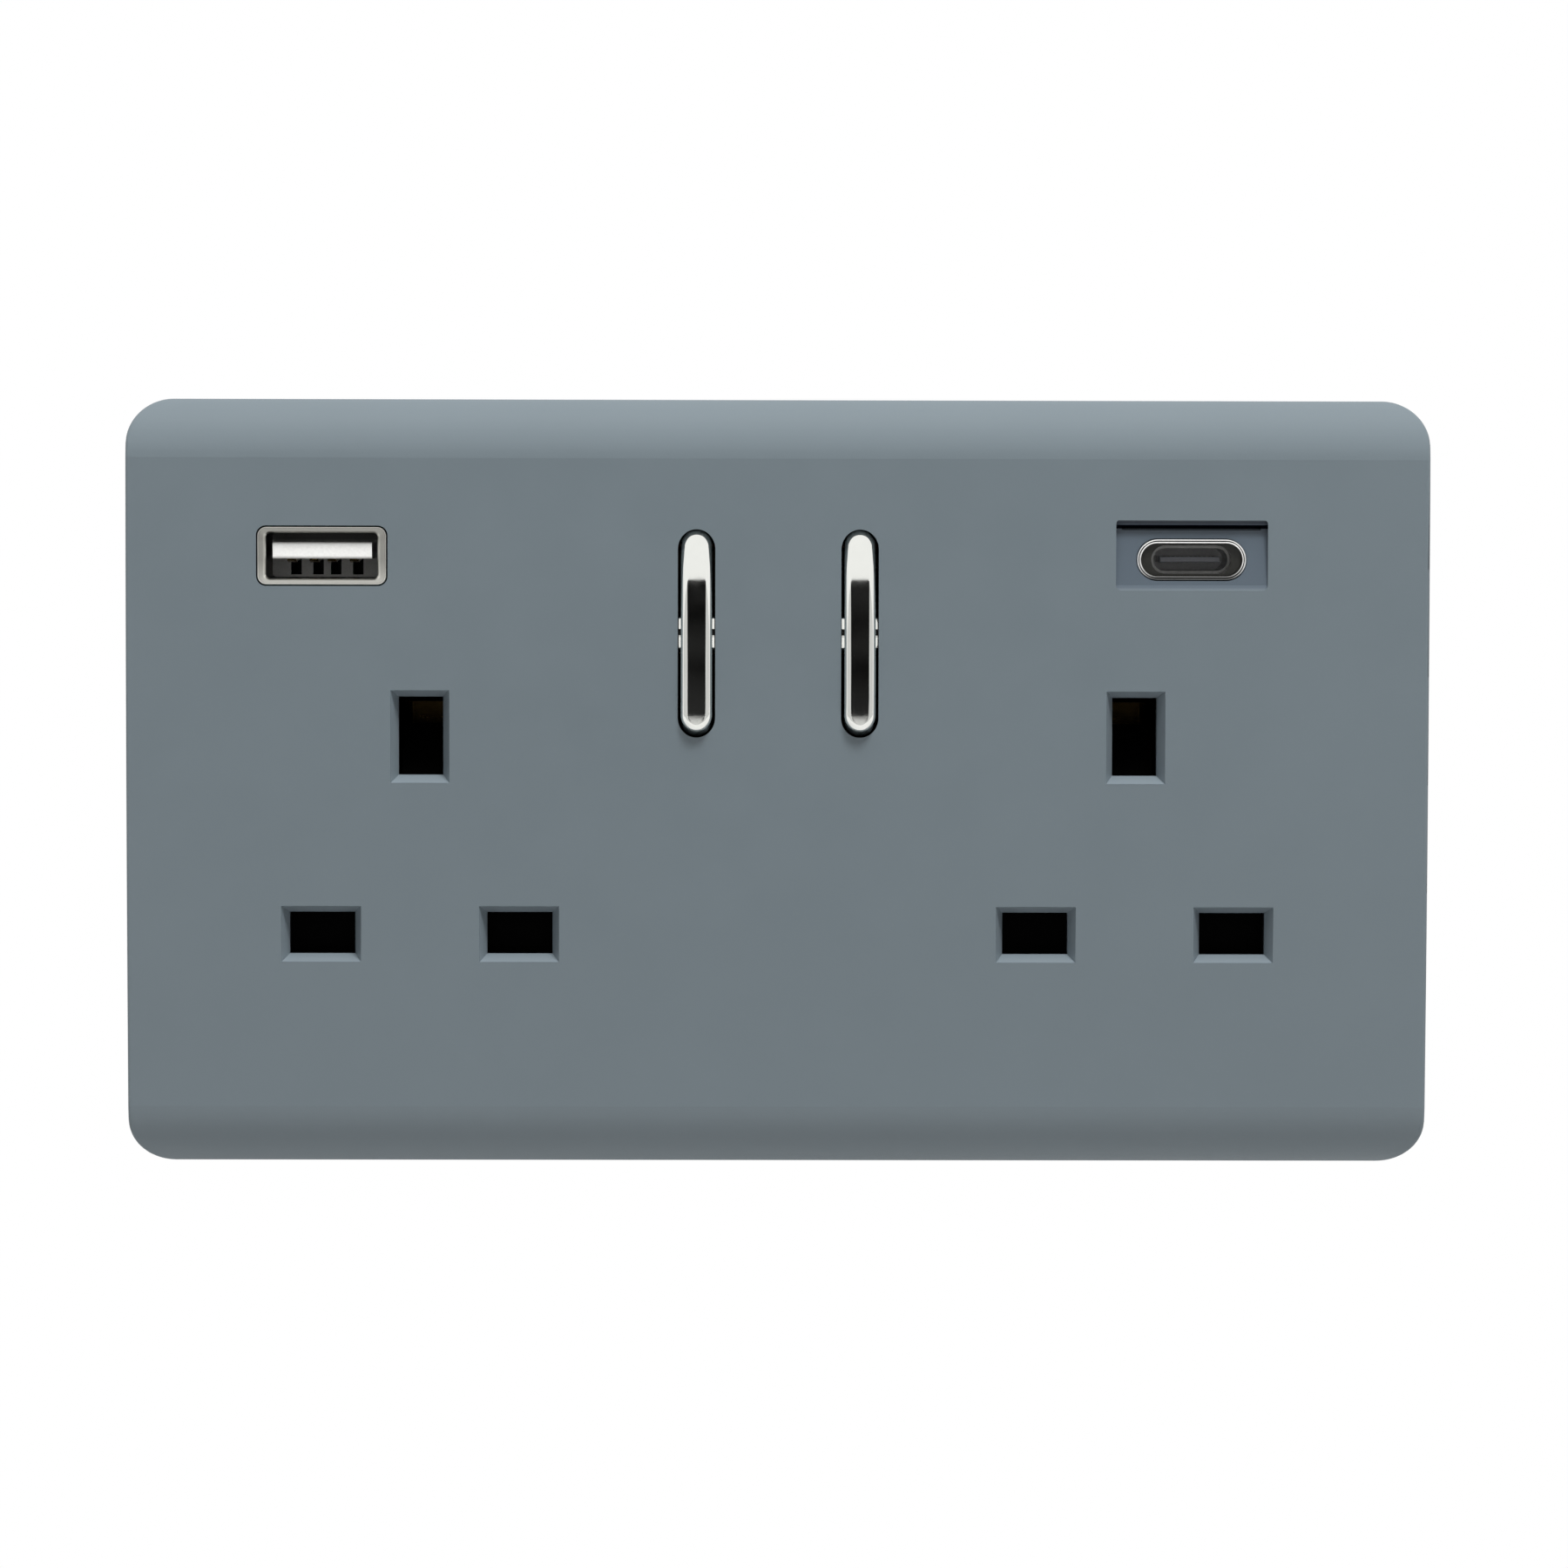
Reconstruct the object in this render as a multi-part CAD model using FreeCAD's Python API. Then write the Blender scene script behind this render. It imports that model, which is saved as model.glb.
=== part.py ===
import FreeCAD, Part
import math
import os

# Twin switched wall socket with two charging ports, in millimetres.
# The origin is the middle of the plate on the wall plane. +X is to the viewer's right,
# +Z is up and the front faces -Y. What stands in the wall box has positive Y.

V = FreeCAD.Vector
LEFT, RIGHT = -1, 1
SIDES = {"left": LEFT, "right": RIGHT}

# Cover plate
PLATE_WIDTH = 146.0
PLATE_HEIGHT = 86.0
PLATE_CORNER = 5.0
PLATE_DEPTH = 9.0
CROWN_RISE = 0.5
SHOULDER_BAND = 6.6
SHOULDER_BULGE = 0.98
EDGE_DEPTH = 4.2
RIM_ROUND = 0.4
FRONT_WALL = 2.6
SHOULDER_WALL = 2.1
SIDE_WALL = 2.0

# Pin apertures, as the plug standard places them
OUTLET_INSET = 32.9
EARTH_PIN_Z = 5.25
PIN_RISE = 22.2
PIN_SPREAD = 11.1
LINE_SLOT = (7.35, 4.7)
EARTH_SLOT = (5.0, 8.8)
LEAD_IN_WIDTH = 0.8
LEAD_IN_DEPTH = 2.2
EARTH_PIN_REACH = 22.7

# Rocker switches
ROCKER_X = 9.15
ROCKER_Z = 16.8
ROCKER_TILT = 6.0
PIVOT_DEPTH = 5.0
SLOT_WIDTH = 4.2
SLOT_LENGTH = 23.2
BAR_WIDTH = 3.5
BAR_END_GAP = 0.4
BAR_RISE = 5.2
BAR_BOW = 60.0
BAR_ROUND = 0.84
BAR_SEAM = 1.9
RIB_INSET = 4.0
RIB_DEPTH = 1.5
RIB_HALF = 0.65
RIB_GAP = 0.05
EAR_RADIUS = 2.6
EAR_INSIDE = 1.35
EAR_OUTSIDE = 2.0
TRUNNION_RADIUS = 1.25
TRUNNION_REACH = 4.2
TRUNNION_GAP = 0.02
CHEEK_MARGIN = 0.6
CARRIER_GAP = 0.05
CARRIER_SETBACK = 1.2
CARRIER_WAIST = (1.5, 3.2)
TUBE_RADIUS = 1.9
TUBE_BORE = 1.2
TUBE_LENGTH = 7.5
TUBE_FLOOR = 1.6
PLUNGER_RADIUS = 1.1
PLUNGER_LENGTH = 7.0
PLUNGER_WIRE = 0.25
PLUNGER_TURNS = 3
SEESAW_DEPTH = 8.0
SEESAW_TILT = 11.0
SEESAW_REACH = 9.6
SEESAW_WIDTH = 5.0
SEESAW_THICK = 1.0
TIP_ARM = 8.0
TIP_RADIUS = 1.6
TIP_HEIGHT = 0.7
TIP_DOME = 4.0
FIXED_TIP_HEIGHT = 0.6
CLOSED_GAP = 0.15

# Moulding in front of the frame
MOULDING_MARGIN = 1.0
SCREW_HEAD_BAY = (5.8, 6.0)
MOULDING_WALL = 1.8
SKIRT_WALL = 1.5
COVER_GAP = 0.2
OUTLINE_ROUND = 2.0
WELL_GAP = 0.4
WELL_WALL = 1.2
SLOT_SLACK = 0.05
CHEEK_DEPTH = 3.8

# Pressed frame
FRAME_SHEET = 1.2
FRAME_FLANGE = 3.6
FRAME_GAP = 0.5
FRAME_CORNER = 3.0
FRAME_BEND = 1.0
FIXING_INSET = 12.7
FIXING_RADIUS = 2.0
CATCH_LENGTH = 8.0
CATCH_WINDOW = (1.3, 2.7)
CATCH_HOLD = 0.7
CATCH_GAP = 0.1
CATCH_INSET = (25.0, 19.0)

# Rear housing
HOUSING_INSET = (11.5, 10.5)
BOX_LUG_BAY = (7.8, 9.0)
HOUSING_DEPTH = 26.0
HOUSING_WALL = 1.8
HOUSING_ROUND = 1.5
WINDOW_INSET = 0.3
FUNNEL = 1.1
DRIVER_POCKET = (8.4, 8.8, 1.2)
POCKET_ROUND = 1.2
HEAD_RELIEF = (0.9, 0.6)

# Assembly screws, from the rear
LOW_SCREW_INSET = (5.5, 3.85)
HIGH_SCREW_INSET = (3.6, 7.0)
SCREW_RADIUS = 1.5
SCREW_HEAD = (2.8, 2.0)
SCREW_SEAT = 1.8
SCREW_TIP = 4.9
SCREW_GAP = 0.05
POST_RADIUS = 2.75
TUBE_OUTSIDE = 3.8
HEAD_HOLE = 3.0
CROSS_SLOT = (0.7, 3.4, 1.1)

# Shutters
SHUTTER_THICK = 2.0
SHUTTER_GAP = 0.1
SHUTTER_TRAVEL = 5.5
SHUTTER_LAP = 0.8
SHUTTER_SIDE_LAP = 0.4
STEM_HALF = 2.2
ARM_HEIGHT = 2.5
ARM_SHOULDER = (2.0, 4.0)
ARM_NECK = 7.0
SADDLE_HALF = 2.4
SADDLE_HEIGHT = 2.0
RAMP_SET = 0.1
RAMP_REAR = 1.0
RAIL_WALL = 1.2
RAIL_LIP = 0.8
SPRING_RADIUS = 1.5
SPRING_WIRE = 0.5
SPRING_TURNS = 6
SPRING_SPACE = 13.0
PEG_RADIUS = 0.9
PEG_LENGTH = 2.0

# Contacts and bars
STRIP_THICK = 0.8
STRIP_BEND = 0.8
EARTH_PIN_SPARE = 1.2
CLIP_WIDTH = 6.0
CLIP_MOUTH = 3.0
CLIP_FLARE = (2.5, 0.4)
LINE_CLIP_MOUTH = -1.0
EARTH_CLIP_MOUTH = 3.0
PIN_GRIP = 0.2
LINE_PIN_HALF = 2.0
EARTH_PIN_HALF = 2.0
BAR_BREADTH = 4.0

# Terminals
TERMINAL_PITCH = 10.0
TERMINAL_SIZE = (8.0, 9.0, 10.0)
TERMINAL_LIFT = 2.95
WIRE_BORE = 2.4
WIRE_HOLE = 3.0
CLAMP_RADIUS = 2.0
CLAMP_LENGTH = 4.2
CLAMP_SLOT = (0.7, 1.0)
TERMINAL_ROUND = 0.8
DRIVER_HOLE = 2.75

# Charging ports and their board
BOARD_FRONT = 5.6
BOARD_THICK = 1.6
BOARD_GAP = 0.4
BOARD_ABOVE_EARTH = 4.3
BOARD_ABOVE_SEESAW = 0.8
BOARD_BESIDE_SEESAW = 4.8
PORT_A_INSET = 21.95
PORT_A_DROP = 4.85
PORT_A_LIP = (14.4, 6.45)
PORT_A_OPENING = (12.5, 5.12)
PORT_A_SHEET = 0.4
PORT_A_LIP_DEPTH = 0.9
PORT_A_ROUND = 0.25
PORT_A_PROUD = 0.1
PORT_A_TONGUE = (11.1, 1.84)
PORT_A_TONGUE_DROP = 1.05
PORT_A_REAR = 0.5
CONTACT_OFFSETS = (-3.5, -1.0, 1.0, 3.5)
CONTACT_WIDTH = 1.0
CONTACT_SHEET = 0.25
CONTACT_POCKET = (1.2, 1.9, 3.0)
PORT_GAP = 0.15
PORT_CLEARANCE = 0.5
PORT_C_INSET = 26.7
PORT_C_DROP = 5.1
TRIM_OUTSIDE = (12.3, 4.66)
TRIM_INSIDE = (11.3, 3.6)
TRIM_FRONT = 8.45
TRIM_FLANGE = 0.8
TRIM_RIM = 0.7
PORT_C_MOUTH = (8.34, 2.56)
PORT_C_SHEET = 0.3
PORT_C_FRONT = 6.6
PORT_C_TONGUE = (6.69, 0.7)
RECESS_RISE = 4.55
RECESS_SIZE = (17.0, 8.0)
RECESS_CORNER = 0.6
RECESS_DEPTH = 1.25
RECESS_BEVEL = 0.7
RECESS_LEDGE = 0.1
SLIT = (0.45, 0.7)

# Parts on the rear of the board. A shift is taken from a port, a screw post or the
# cut-out, and down from the board's top edge.
TRANSFORMER_SHIFT = (1.05, 9.3)
TRANSFORMER_SIZE = (15.0, 12.0, 15.0)
TRANSFORMER_YOKE = 2.5
TRANSFORMER_LIMB = 3.0
TRANSFORMER_CORE = 4.0
TRANSFORMER_LIFT = 1.0
WINDING_GAP = 0.1
BIG_CAPACITOR = (3.5, 11.0)
SMALL_CAPACITOR = (3.15, 9.0)
BIG_CAPACITOR_SHIFT = (13.55, 13.8)
POST_CAPACITOR_DROP = 13.3
PORT_CAPACITOR_SHIFT = (5.7, 4.3)
COIL_SHIFT = (3.7, 13.3)
COIL_FLANGE = (4.2, 1.2)
COIL_CORE = (2.6, 7.0)
COIL_WOUND = 3.8
CHIP_SIZE = (5.0, 3.8)
CHIP_SHIFTS = (-3.6, 2.6)
CHIP_DROP = 13.8
CHIP_HEIGHT = 1.5

# Routes of the bars in the plane of the plate
NEUTRAL_BREADTH = 3.8
NEUTRAL_GAP = 0.8
NEUTRAL_LEG = 1.6
LIVE_SPARE = 0.5
LIVE_RUN_Z = -7.2
LIVE_LEG = 5.5
EARTH_RUN = (-3.0, 2.0)
EARTH_JOG_LIFT = (6.5, 3.0)
PAD_HALF = 2.0

# Worked-out places
FIXING_X = PLATE_WIDTH / 2 - FIXING_INSET
OUTLET_X = PLATE_WIDTH / 2 - OUTLET_INSET
HOUSING_HALF = (PLATE_WIDTH / 2 - HOUSING_INSET[0], PLATE_HEIGHT / 2 - HOUSING_INSET[1])
COVER_INSIDE = PLATE_DEPTH - FRONT_WALL
MOULDING_FRONT = COVER_INSIDE - COVER_GAP
MOULDING_BACK = MOULDING_FRONT - MOULDING_WALL
LINE_PIN_Z = EARTH_PIN_Z - PIN_RISE
MOULDING_HALF = (HOUSING_HALF[0] + MOULDING_MARGIN, HOUSING_HALF[1] + MOULDING_MARGIN)
MOULDING_NOTCH = (FIXING_X - SCREW_HEAD_BAY[0], SCREW_HEAD_BAY[1])
HOUSING_NOTCH = (FIXING_X - BOX_LUG_BAY[0], BOX_LUG_BAY[1])
SCREW_LOW = (HOUSING_HALF[0] - LOW_SCREW_INSET[0], LOW_SCREW_INSET[1] - HOUSING_HALF[1])
SCREW_HIGH = (OUTLET_X - HIGH_SCREW_INSET[0], HOUSING_HALF[1] - HIGH_SCREW_INSET[1])
SCREW_PLACES = [(side * x, z) for x, z in (SCREW_LOW, SCREW_HIGH) for side in (LEFT, RIGHT)]
SHUTTER_HALF = PIN_SPREAD + LINE_SLOT[0] / 2 + SHUTTER_SIDE_LAP
RAMP_FOOT = EARTH_PIN_Z - EARTH_SLOT[1] / 2 + RAMP_SET
SEESAW_SWING = math.radians(SEESAW_TILT)
TIP_FACE = (
    SEESAW_DEPTH + TIP_ARM * math.sin(SEESAW_SWING) + TIP_DOME + CLOSED_GAP
    + (SEESAW_THICK / 2 + TIP_HEIGHT - TIP_DOME) * math.cos(SEESAW_SWING)
)
TIP_Z = ROCKER_Z + TIP_ARM * math.cos(SEESAW_SWING)
LINE_LAYER = TIP_FACE + FIXED_TIP_HEIGHT
EARTH_LAYER = EARTH_PIN_REACH - PLATE_DEPTH + EARTH_PIN_SPARE
TERMINAL_X = [TERMINAL_PITCH * step for step in (-1.5, -0.5, 0.5, 1.5)]
TERMINAL_TOP = LINE_PIN_Z + TERMINAL_LIFT
TERMINAL_BOTTOM = TERMINAL_TOP - TERMINAL_SIZE[2]
NEUTRAL_TOP = TERMINAL_BOTTOM - NEUTRAL_GAP
LIVE_REACH = ROCKER_X + SEESAW_WIDTH / 2 + LIVE_SPARE
LIVE_TURN_X = (LIVE_REACH + SCREW_HIGH[0] - TUBE_OUTSIDE) / 2
BOARD_TOP = HOUSING_HALF[1] - HOUSING_WALL - BOARD_GAP
BOARD_BOTTOM = EARTH_PIN_Z + CLIP_WIDTH / 2 + BOARD_ABOVE_EARTH
BOARD_BRIDGE = ROCKER_Z + SEESAW_REACH + BOARD_ABOVE_SEESAW
BOARD_CUT_HALF = ROCKER_X + SEESAW_WIDTH / 2 + BOARD_BESIDE_SEESAW
BOARD_BACK = BOARD_FRONT + BOARD_THICK
PORT_A_X = PORT_A_INSET - PLATE_WIDTH / 2
PORT_A_Z = BOARD_TOP - PORT_A_DROP
PORT_C_X = PLATE_WIDTH / 2 - PORT_C_INSET
PORT_C_Z = BOARD_TOP - PORT_C_DROP
RECESS_TOP = PORT_C_Z + RECESS_RISE
TRANSFORMER_AT = (PORT_A_X + TRANSFORMER_SHIFT[0], BOARD_TOP - TRANSFORMER_SHIFT[1])
COIL_AT = (PORT_C_X + COIL_SHIFT[0], BOARD_TOP - COIL_SHIFT[1])
CAPACITORS = (
    (PORT_A_X + BIG_CAPACITOR_SHIFT[0], BOARD_TOP - BIG_CAPACITOR_SHIFT[1], *BIG_CAPACITOR),
    (SCREW_HIGH[0], BOARD_TOP - POST_CAPACITOR_DROP, *SMALL_CAPACITOR),
    (PORT_C_X + PORT_CAPACITOR_SHIFT[0], BOARD_TOP - PORT_CAPACITOR_SHIFT[1], *SMALL_CAPACITOR),
)
CHIP_X = (PORT_C_X + CHIP_SHIFTS[0], -BOARD_CUT_HALF - CHIP_SHIFTS[1])
SCREW_HEAD_DEPTH = BOARD_BACK + SCREW_SEAT
SWEEP_RADIUS = math.hypot(SLOT_LENGTH / 2, PLATE_DEPTH - PIVOT_DEPTH)
ROCKER_RADIUS = SWEEP_RADIUS - BAR_END_GAP
TERMINAL_FRONT = LINE_LAYER + STRIP_THICK
TERMINAL_BACK = TERMINAL_FRONT + TERMINAL_SIZE[1]
WIRE_Y = TERMINAL_FRONT + TERMINAL_SIZE[1] / 2
REAR_INSIDE = HOUSING_DEPTH - HOUSING_WALL
SHUTTER_FRONT = MOULDING_BACK - SHUTTER_GAP
SHUTTER_BACK = SHUTTER_FRONT - SHUTTER_THICK


def box(x0, x1, y0, y1, z0, z1):
    return Part.makeBox(x1 - x0, y1 - y0, z1 - z0, V(x0, y0, z0))


def rod(radius, start, end):
    along = end - start
    return Part.makeCylinder(radius, along.Length, start, along)


def fuse(first, *others):
    return first.fuse(list(others)).removeSplitter()


def cut(body, *tools):
    return body.cut(list(tools)).removeSplitter()


def through(wire, y0, y1):
    """A closed wire in the plane of the plate, swept in depth."""
    face = Part.Face(wire)
    face.translate(V(0, y0 - wire.BoundBox.YMin, 0))
    return face.extrude(V(0, y1 - y0, 0))


def polygon(points):
    corners = [V(x, 0, z) for x, z in points]
    return Part.makePolygon(corners + corners[:1])


def rounded(points, radius):
    """A closed outline in the plane of the plate with every corner rounded."""
    corners = [V(x, 0, z) for x, z in points]
    edges = []
    count = len(corners)
    arcs = []
    for i, corner in enumerate(corners):
        before = (corners[i - 1] - corner).normalize()
        after = (corners[(i + 1) % count] - corner).normalize()
        half = before.getAngle(after) / 2
        run = radius / math.tan(half)
        start = corner + before * run
        end = corner + after * run
        inward = (before + after).normalize()
        middle = corner + inward * (radius / math.sin(half) - radius)
        arcs.append((start, middle, end))
    for i, (start, middle, end) in enumerate(arcs):
        edges.append(Part.Arc(start, middle, end).toShape())
        following = arcs[(i + 1) % count][0]
        if end.distanceToPoint(following) > 1e-6:
            edges.append(Part.makeLine(end, following))
    return Part.Wire(Part.__sortEdges__(edges))


def rectangle(x, z, width, height, radius=0.0):
    a, b = width / 2, height / 2
    points = ((x - a, z - b), (x + a, z - b), (x + a, z + b), (x - a, z + b))
    return rounded(points, radius) if radius else polygon(points)


def stadium(x, z, width, height):
    """A slot with round ends, upright or lying."""
    radius = min(width, height) / 2
    run = abs(height - width) / 2
    side = V(radius, 0, 0) if height > width else V(0, 0, radius)
    along = V(0, 0, run) if height > width else V(run, 0, 0)
    middle = V(x, 0, z)
    tip = along * ((run + radius) / run)
    one = Part.Arc(middle + along + side, middle + tip, middle + along - side).toShape()
    two = Part.Arc(middle - along - side, middle - tip, middle - along + side).toShape()
    return Part.Wire([
        one,
        Part.makeLine(middle + along - side, middle - along - side),
        two,
        Part.makeLine(middle - along + side, middle + along + side),
    ])


def notched(half, notch, inset=0.0):
    """The outline of the works: a rectangle with a bay at each side for a fixing screw."""
    a, b = half[0] - inset, half[1] - inset
    c, d = notch[0] - inset, notch[1] + inset
    points = (
        (-a, -b), (a, -b), (a, -d), (c, -d), (c, d), (a, d),
        (a, b), (-a, b), (-a, d), (-c, d), (-c, -d), (-a, -d),
    )
    return rounded(points, OUTLINE_ROUND)


def ribbon(points, thick, bend):
    """A flat face that follows a bent strip seen edge on, from (depth, height) points."""
    path = [V(0, y, z) for y, z in points]
    out, back = [], []
    half = thick / 2
    turned = V(1, 0, 0)
    heading = (path[1] - path[0]).normalize()
    normal = turned.cross(heading)
    left, right = path[0] + normal * half, path[0] - normal * half
    for i in range(1, len(path) - 1):
        coming = (path[i] - path[i - 1]).normalize()
        going = (path[i + 1] - path[i]).normalize()
        angle = coming.getAngle(going)
        centre_radius = bend + half
        run = centre_radius * math.tan(angle / 2)
        side = 1 if turned.cross(coming).dot(going) > 0 else -1
        n0 = turned.cross(coming)
        n1 = turned.cross(going)
        start = path[i] - coming * run
        end = path[i] + going * run
        centre = start + n0 * (side * centre_radius)
        outward = (path[i] - centre).normalize()
        for name, edges in ((1, out), (-1, back)):
            here = left if name > 0 else right
            a = start + n0 * (name * half)
            b = end + n1 * (name * half)
            m = centre + outward * (centre_radius - side * name * half)
            edges.append(Part.makeLine(here, a))
            edges.append(Part.Arc(a, m, b).toShape())
            if name > 0:
                left = b
            else:
                right = b
    heading = (path[-1] - path[-2]).normalize()
    normal = turned.cross(heading)
    last_left, last_right = path[-1] + normal * half, path[-1] - normal * half
    out.append(Part.makeLine(left, last_left))
    back.append(Part.makeLine(right, last_right))
    first = path[0]
    n = turned.cross((path[1] - first).normalize())
    ends = [
        Part.makeLine(last_left, last_right),
        Part.makeLine(first - n * half, first + n * half),
    ]
    return Part.Face(Part.Wire(Part.__sortEdges__(out + back + ends)))


def strip_x(points, thick, bend, x, width):
    """A bent strip that keeps its edge-on shape across a width in X."""
    face = ribbon(points, thick, bend)
    face.translate(V(x - width / 2, 0, 0))
    return face.extrude(V(width, 0, 0))


def side_profile(points, x0, x1):
    """A solid with one outline of (depth, height) points from x0 to x1."""
    corners = [V(x0, y, z) for y, z in points]
    face = Part.Face(Part.makePolygon(corners + corners[:1]))
    return face.extrude(V(x1 - x0, 0, 0))


def coil(radius, wire, length, turns, start, along):
    """A round-wire spring whose outer ends are the ends of the given length."""
    rise = length - wire
    path = Part.makeHelix(rise / turns, rise, radius)
    at = V(radius, 0, 0)
    ring = Part.Wire(Part.makeCircle(wire / 2, at, V(0, 1, 0)))
    spring = Part.Wire(path).makePipeShell([ring], True, True)
    spring.translate(V(0, 0, wire / 2))
    spring.Placement = FreeCAD.Placement(
        start, FreeCAD.Rotation(V(0, 0, 1), along)
    ).multiply(spring.Placement)
    return spring


def save(name, shape):
    if not shape.isValid():
        print("not valid:", name)
    shape.exportStep("parts/" + name + ".step")
    print(name, len(shape.Solids), "solids", round(shape.Volume, 1), "mm3")


def arc_centre(start, end, bulge):
    """Centre and radius of the shoulder's arc, in (height, depth)."""
    chord = math.hypot(end[0] - start[0], end[1] - start[1])
    radius = (chord * chord / 4 + bulge * bulge) / (2 * bulge)
    outward = ((end[1] - start[1]) / chord, -(end[0] - start[0]) / chord)
    reach = radius - bulge
    middle = ((start[0] + end[0]) / 2, (start[1] + end[1]) / 2)
    return (middle[0] - outward[0] * reach, middle[1] - outward[1] * reach), radius


SHOULDER_Z = PLATE_HEIGHT / 2 - SHOULDER_BAND
SHOULDER_START = (SHOULDER_Z, CROWN_RISE - PLATE_DEPTH)
SHOULDER_END = (PLATE_HEIGHT / 2, -EDGE_DEPTH)
SHOULDER_CENTRE, SHOULDER_RADIUS = arc_centre(SHOULDER_START, SHOULDER_END, SHOULDER_BULGE)


def front_y(z):
    """Depth of the cover's face at a height on its crowned part."""
    return CROWN_RISE * (z / SHOULDER_Z) ** 2 - PLATE_DEPTH


def on_shoulder(radius, angle):
    return V(
        0,
        SHOULDER_CENTRE[1] - radius * math.cos(angle),
        SHOULDER_CENTRE[0] + radius * math.sin(angle),
    )


def mirrored(point):
    return V(point.x, point.y, -point.z)


def bowed_body(crown, top, shoulder, radius, angles, width):
    """A bar of the cover's section: crowned face, two shoulder arcs and a flat back."""
    first, last = angles
    start = on_shoulder(radius, first)
    middle = on_shoulder(radius, (first + last) / 2)
    end = on_shoulder(radius, last)
    foot = V(0, 0, top)
    if shoulder:
        face_edge = Part.Arc(mirrored(start), V(0, -crown, 0), start).toShape()
    else:
        face_edge = Part.makeLine(mirrored(start), start)
    edges = [
        face_edge,
        Part.Arc(start, middle, end).toShape(),
        Part.makeLine(end, foot),
        Part.makeLine(foot, mirrored(foot)),
        Part.makeLine(mirrored(foot), mirrored(end)),
        Part.Arc(mirrored(end), mirrored(middle), mirrored(start)).toShape(),
    ]
    face = Part.Face(Part.Wire(edges))
    face.translate(V(-width / 2, 0, 0))
    return face.extrude(V(width, 0, 0))


def cover_outside():
    start_angle = math.asin((SHOULDER_START[0] - SHOULDER_CENTRE[0]) / SHOULDER_RADIUS)
    end_angle = math.acos((SHOULDER_CENTRE[1] - SHOULDER_END[1]) / SHOULDER_RADIUS)
    section = bowed_body(
        PLATE_DEPTH, PLATE_HEIGHT / 2, True, SHOULDER_RADIUS,
        (start_angle, end_angle), PLATE_WIDTH + 2,
    )
    plan = rectangle(0, 0, PLATE_WIDTH, PLATE_HEIGHT, PLATE_CORNER)
    return section.common(through(plan, -PLATE_DEPTH - 1, 0))


def cover_inside():
    radius = SHOULDER_RADIUS - SHOULDER_WALL
    top = PLATE_HEIGHT / 2 - SIDE_WALL
    start_angle = math.acos((COVER_INSIDE + SHOULDER_CENTRE[1]) / radius)
    end_angle = math.asin((top - SHOULDER_CENTRE[0]) / radius)
    section = bowed_body(
        COVER_INSIDE, top, False, radius, (start_angle, end_angle), PLATE_WIDTH,
    )
    plan = rectangle(
        0, 0, PLATE_WIDTH - 2 * SIDE_WALL, PLATE_HEIGHT - 2 * SIDE_WALL,
        PLATE_CORNER - SIDE_WALL,
    )
    return section.common(through(plan, -PLATE_DEPTH, 0))


def soften_rim(body):
    """Rounds the edges that run round the front of the cover."""
    rim = []
    for edge in body.Edges:
        middle = edge.valueAt((edge.FirstParameter + edge.LastParameter) / 2)
        ends = [v.Point for v in edge.Vertexes]
        on_side = all(on_cover_edge(p) for p in ends + [middle])
        level = max(p.y for p in ends) - min(p.y for p in ends)
        upright = level > 1 and abs(ends[0].x - ends[-1].x) < 0.01
        upright = upright and abs(ends[0].z - ends[-1].z) < 0.01
        if on_side and middle.y < -1 and not upright:
            rim.append(edge)
    return body.makeFillet(RIM_ROUND, rim)


def on_cover_edge(point):
    a = PLATE_WIDTH / 2 - PLATE_CORNER
    b = PLATE_HEIGHT / 2 - PLATE_CORNER
    out_x = max(abs(point.x) - a, 0)
    out_z = max(abs(point.z) - b, 0)
    return abs(math.hypot(out_x, out_z) - PLATE_CORNER) < 0.01


def pin_slots(side):
    """Centre, size and kind of the three apertures of one outlet."""
    x = side * OUTLET_X
    return (
        (x, EARTH_PIN_Z, EARTH_SLOT),
        (x - PIN_SPREAD, LINE_PIN_Z, LINE_SLOT),
        (x + PIN_SPREAD, LINE_PIN_Z, LINE_SLOT),
    )


def lead_in(x, z, size):
    """A funnel that guides a pin into its aperture."""
    face = front_y(z)
    slope = LEAD_IN_WIDTH / LEAD_IN_DEPTH
    extra = 1.0
    wide = (LEAD_IN_DEPTH + extra) * slope * 2
    inner = rectangle(x, z, *size)
    inner.translate(V(0, face + LEAD_IN_DEPTH, 0))
    outer = rectangle(x, z, size[0] + wide, size[1] + wide)
    outer.translate(V(0, face - extra, 0))
    return Part.makeLoft([outer, inner], True, True)


def port_c_recess():
    """A scoop round the small port: deep at its top, running out at its bottom."""
    top, height = RECESS_TOP, RECESS_SIZE[1]
    face = front_y(top - height / 2)
    points = (
        (face - 1, top),
        (face - 0.05, top),
        (face + RECESS_BEVEL, top - RECESS_BEVEL),
        (face + RECESS_DEPTH, top - RECESS_BEVEL - RECESS_LEDGE),
        (face + 0.2, top - height + 0.6),
        (face - 0.05, top - height),
        (face - 1, top - height),
    )
    scoop = side_profile(points, PORT_C_X - RECESS_SIZE[0] / 2, PORT_C_X + RECESS_SIZE[0] / 2)
    plan = rectangle(PORT_C_X, top - height / 2, *RECESS_SIZE, RECESS_CORNER)
    return scoop.common(through(plan, -PLATE_DEPTH - 1, 0))


def recess_slit():
    """The slit between the scoop's top wall and its floor."""
    breadth, deep = SLIT
    top = RECESS_TOP - RECESS_BEVEL - RECESS_LEDGE
    half = RECESS_SIZE[0] / 2 - RECESS_BEVEL
    floor = front_y(RECESS_TOP - RECESS_SIZE[1] / 2) + RECESS_DEPTH
    return box(PORT_C_X - half, PORT_C_X + half, floor - deep, floor + deep, top - breadth, top)


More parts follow.
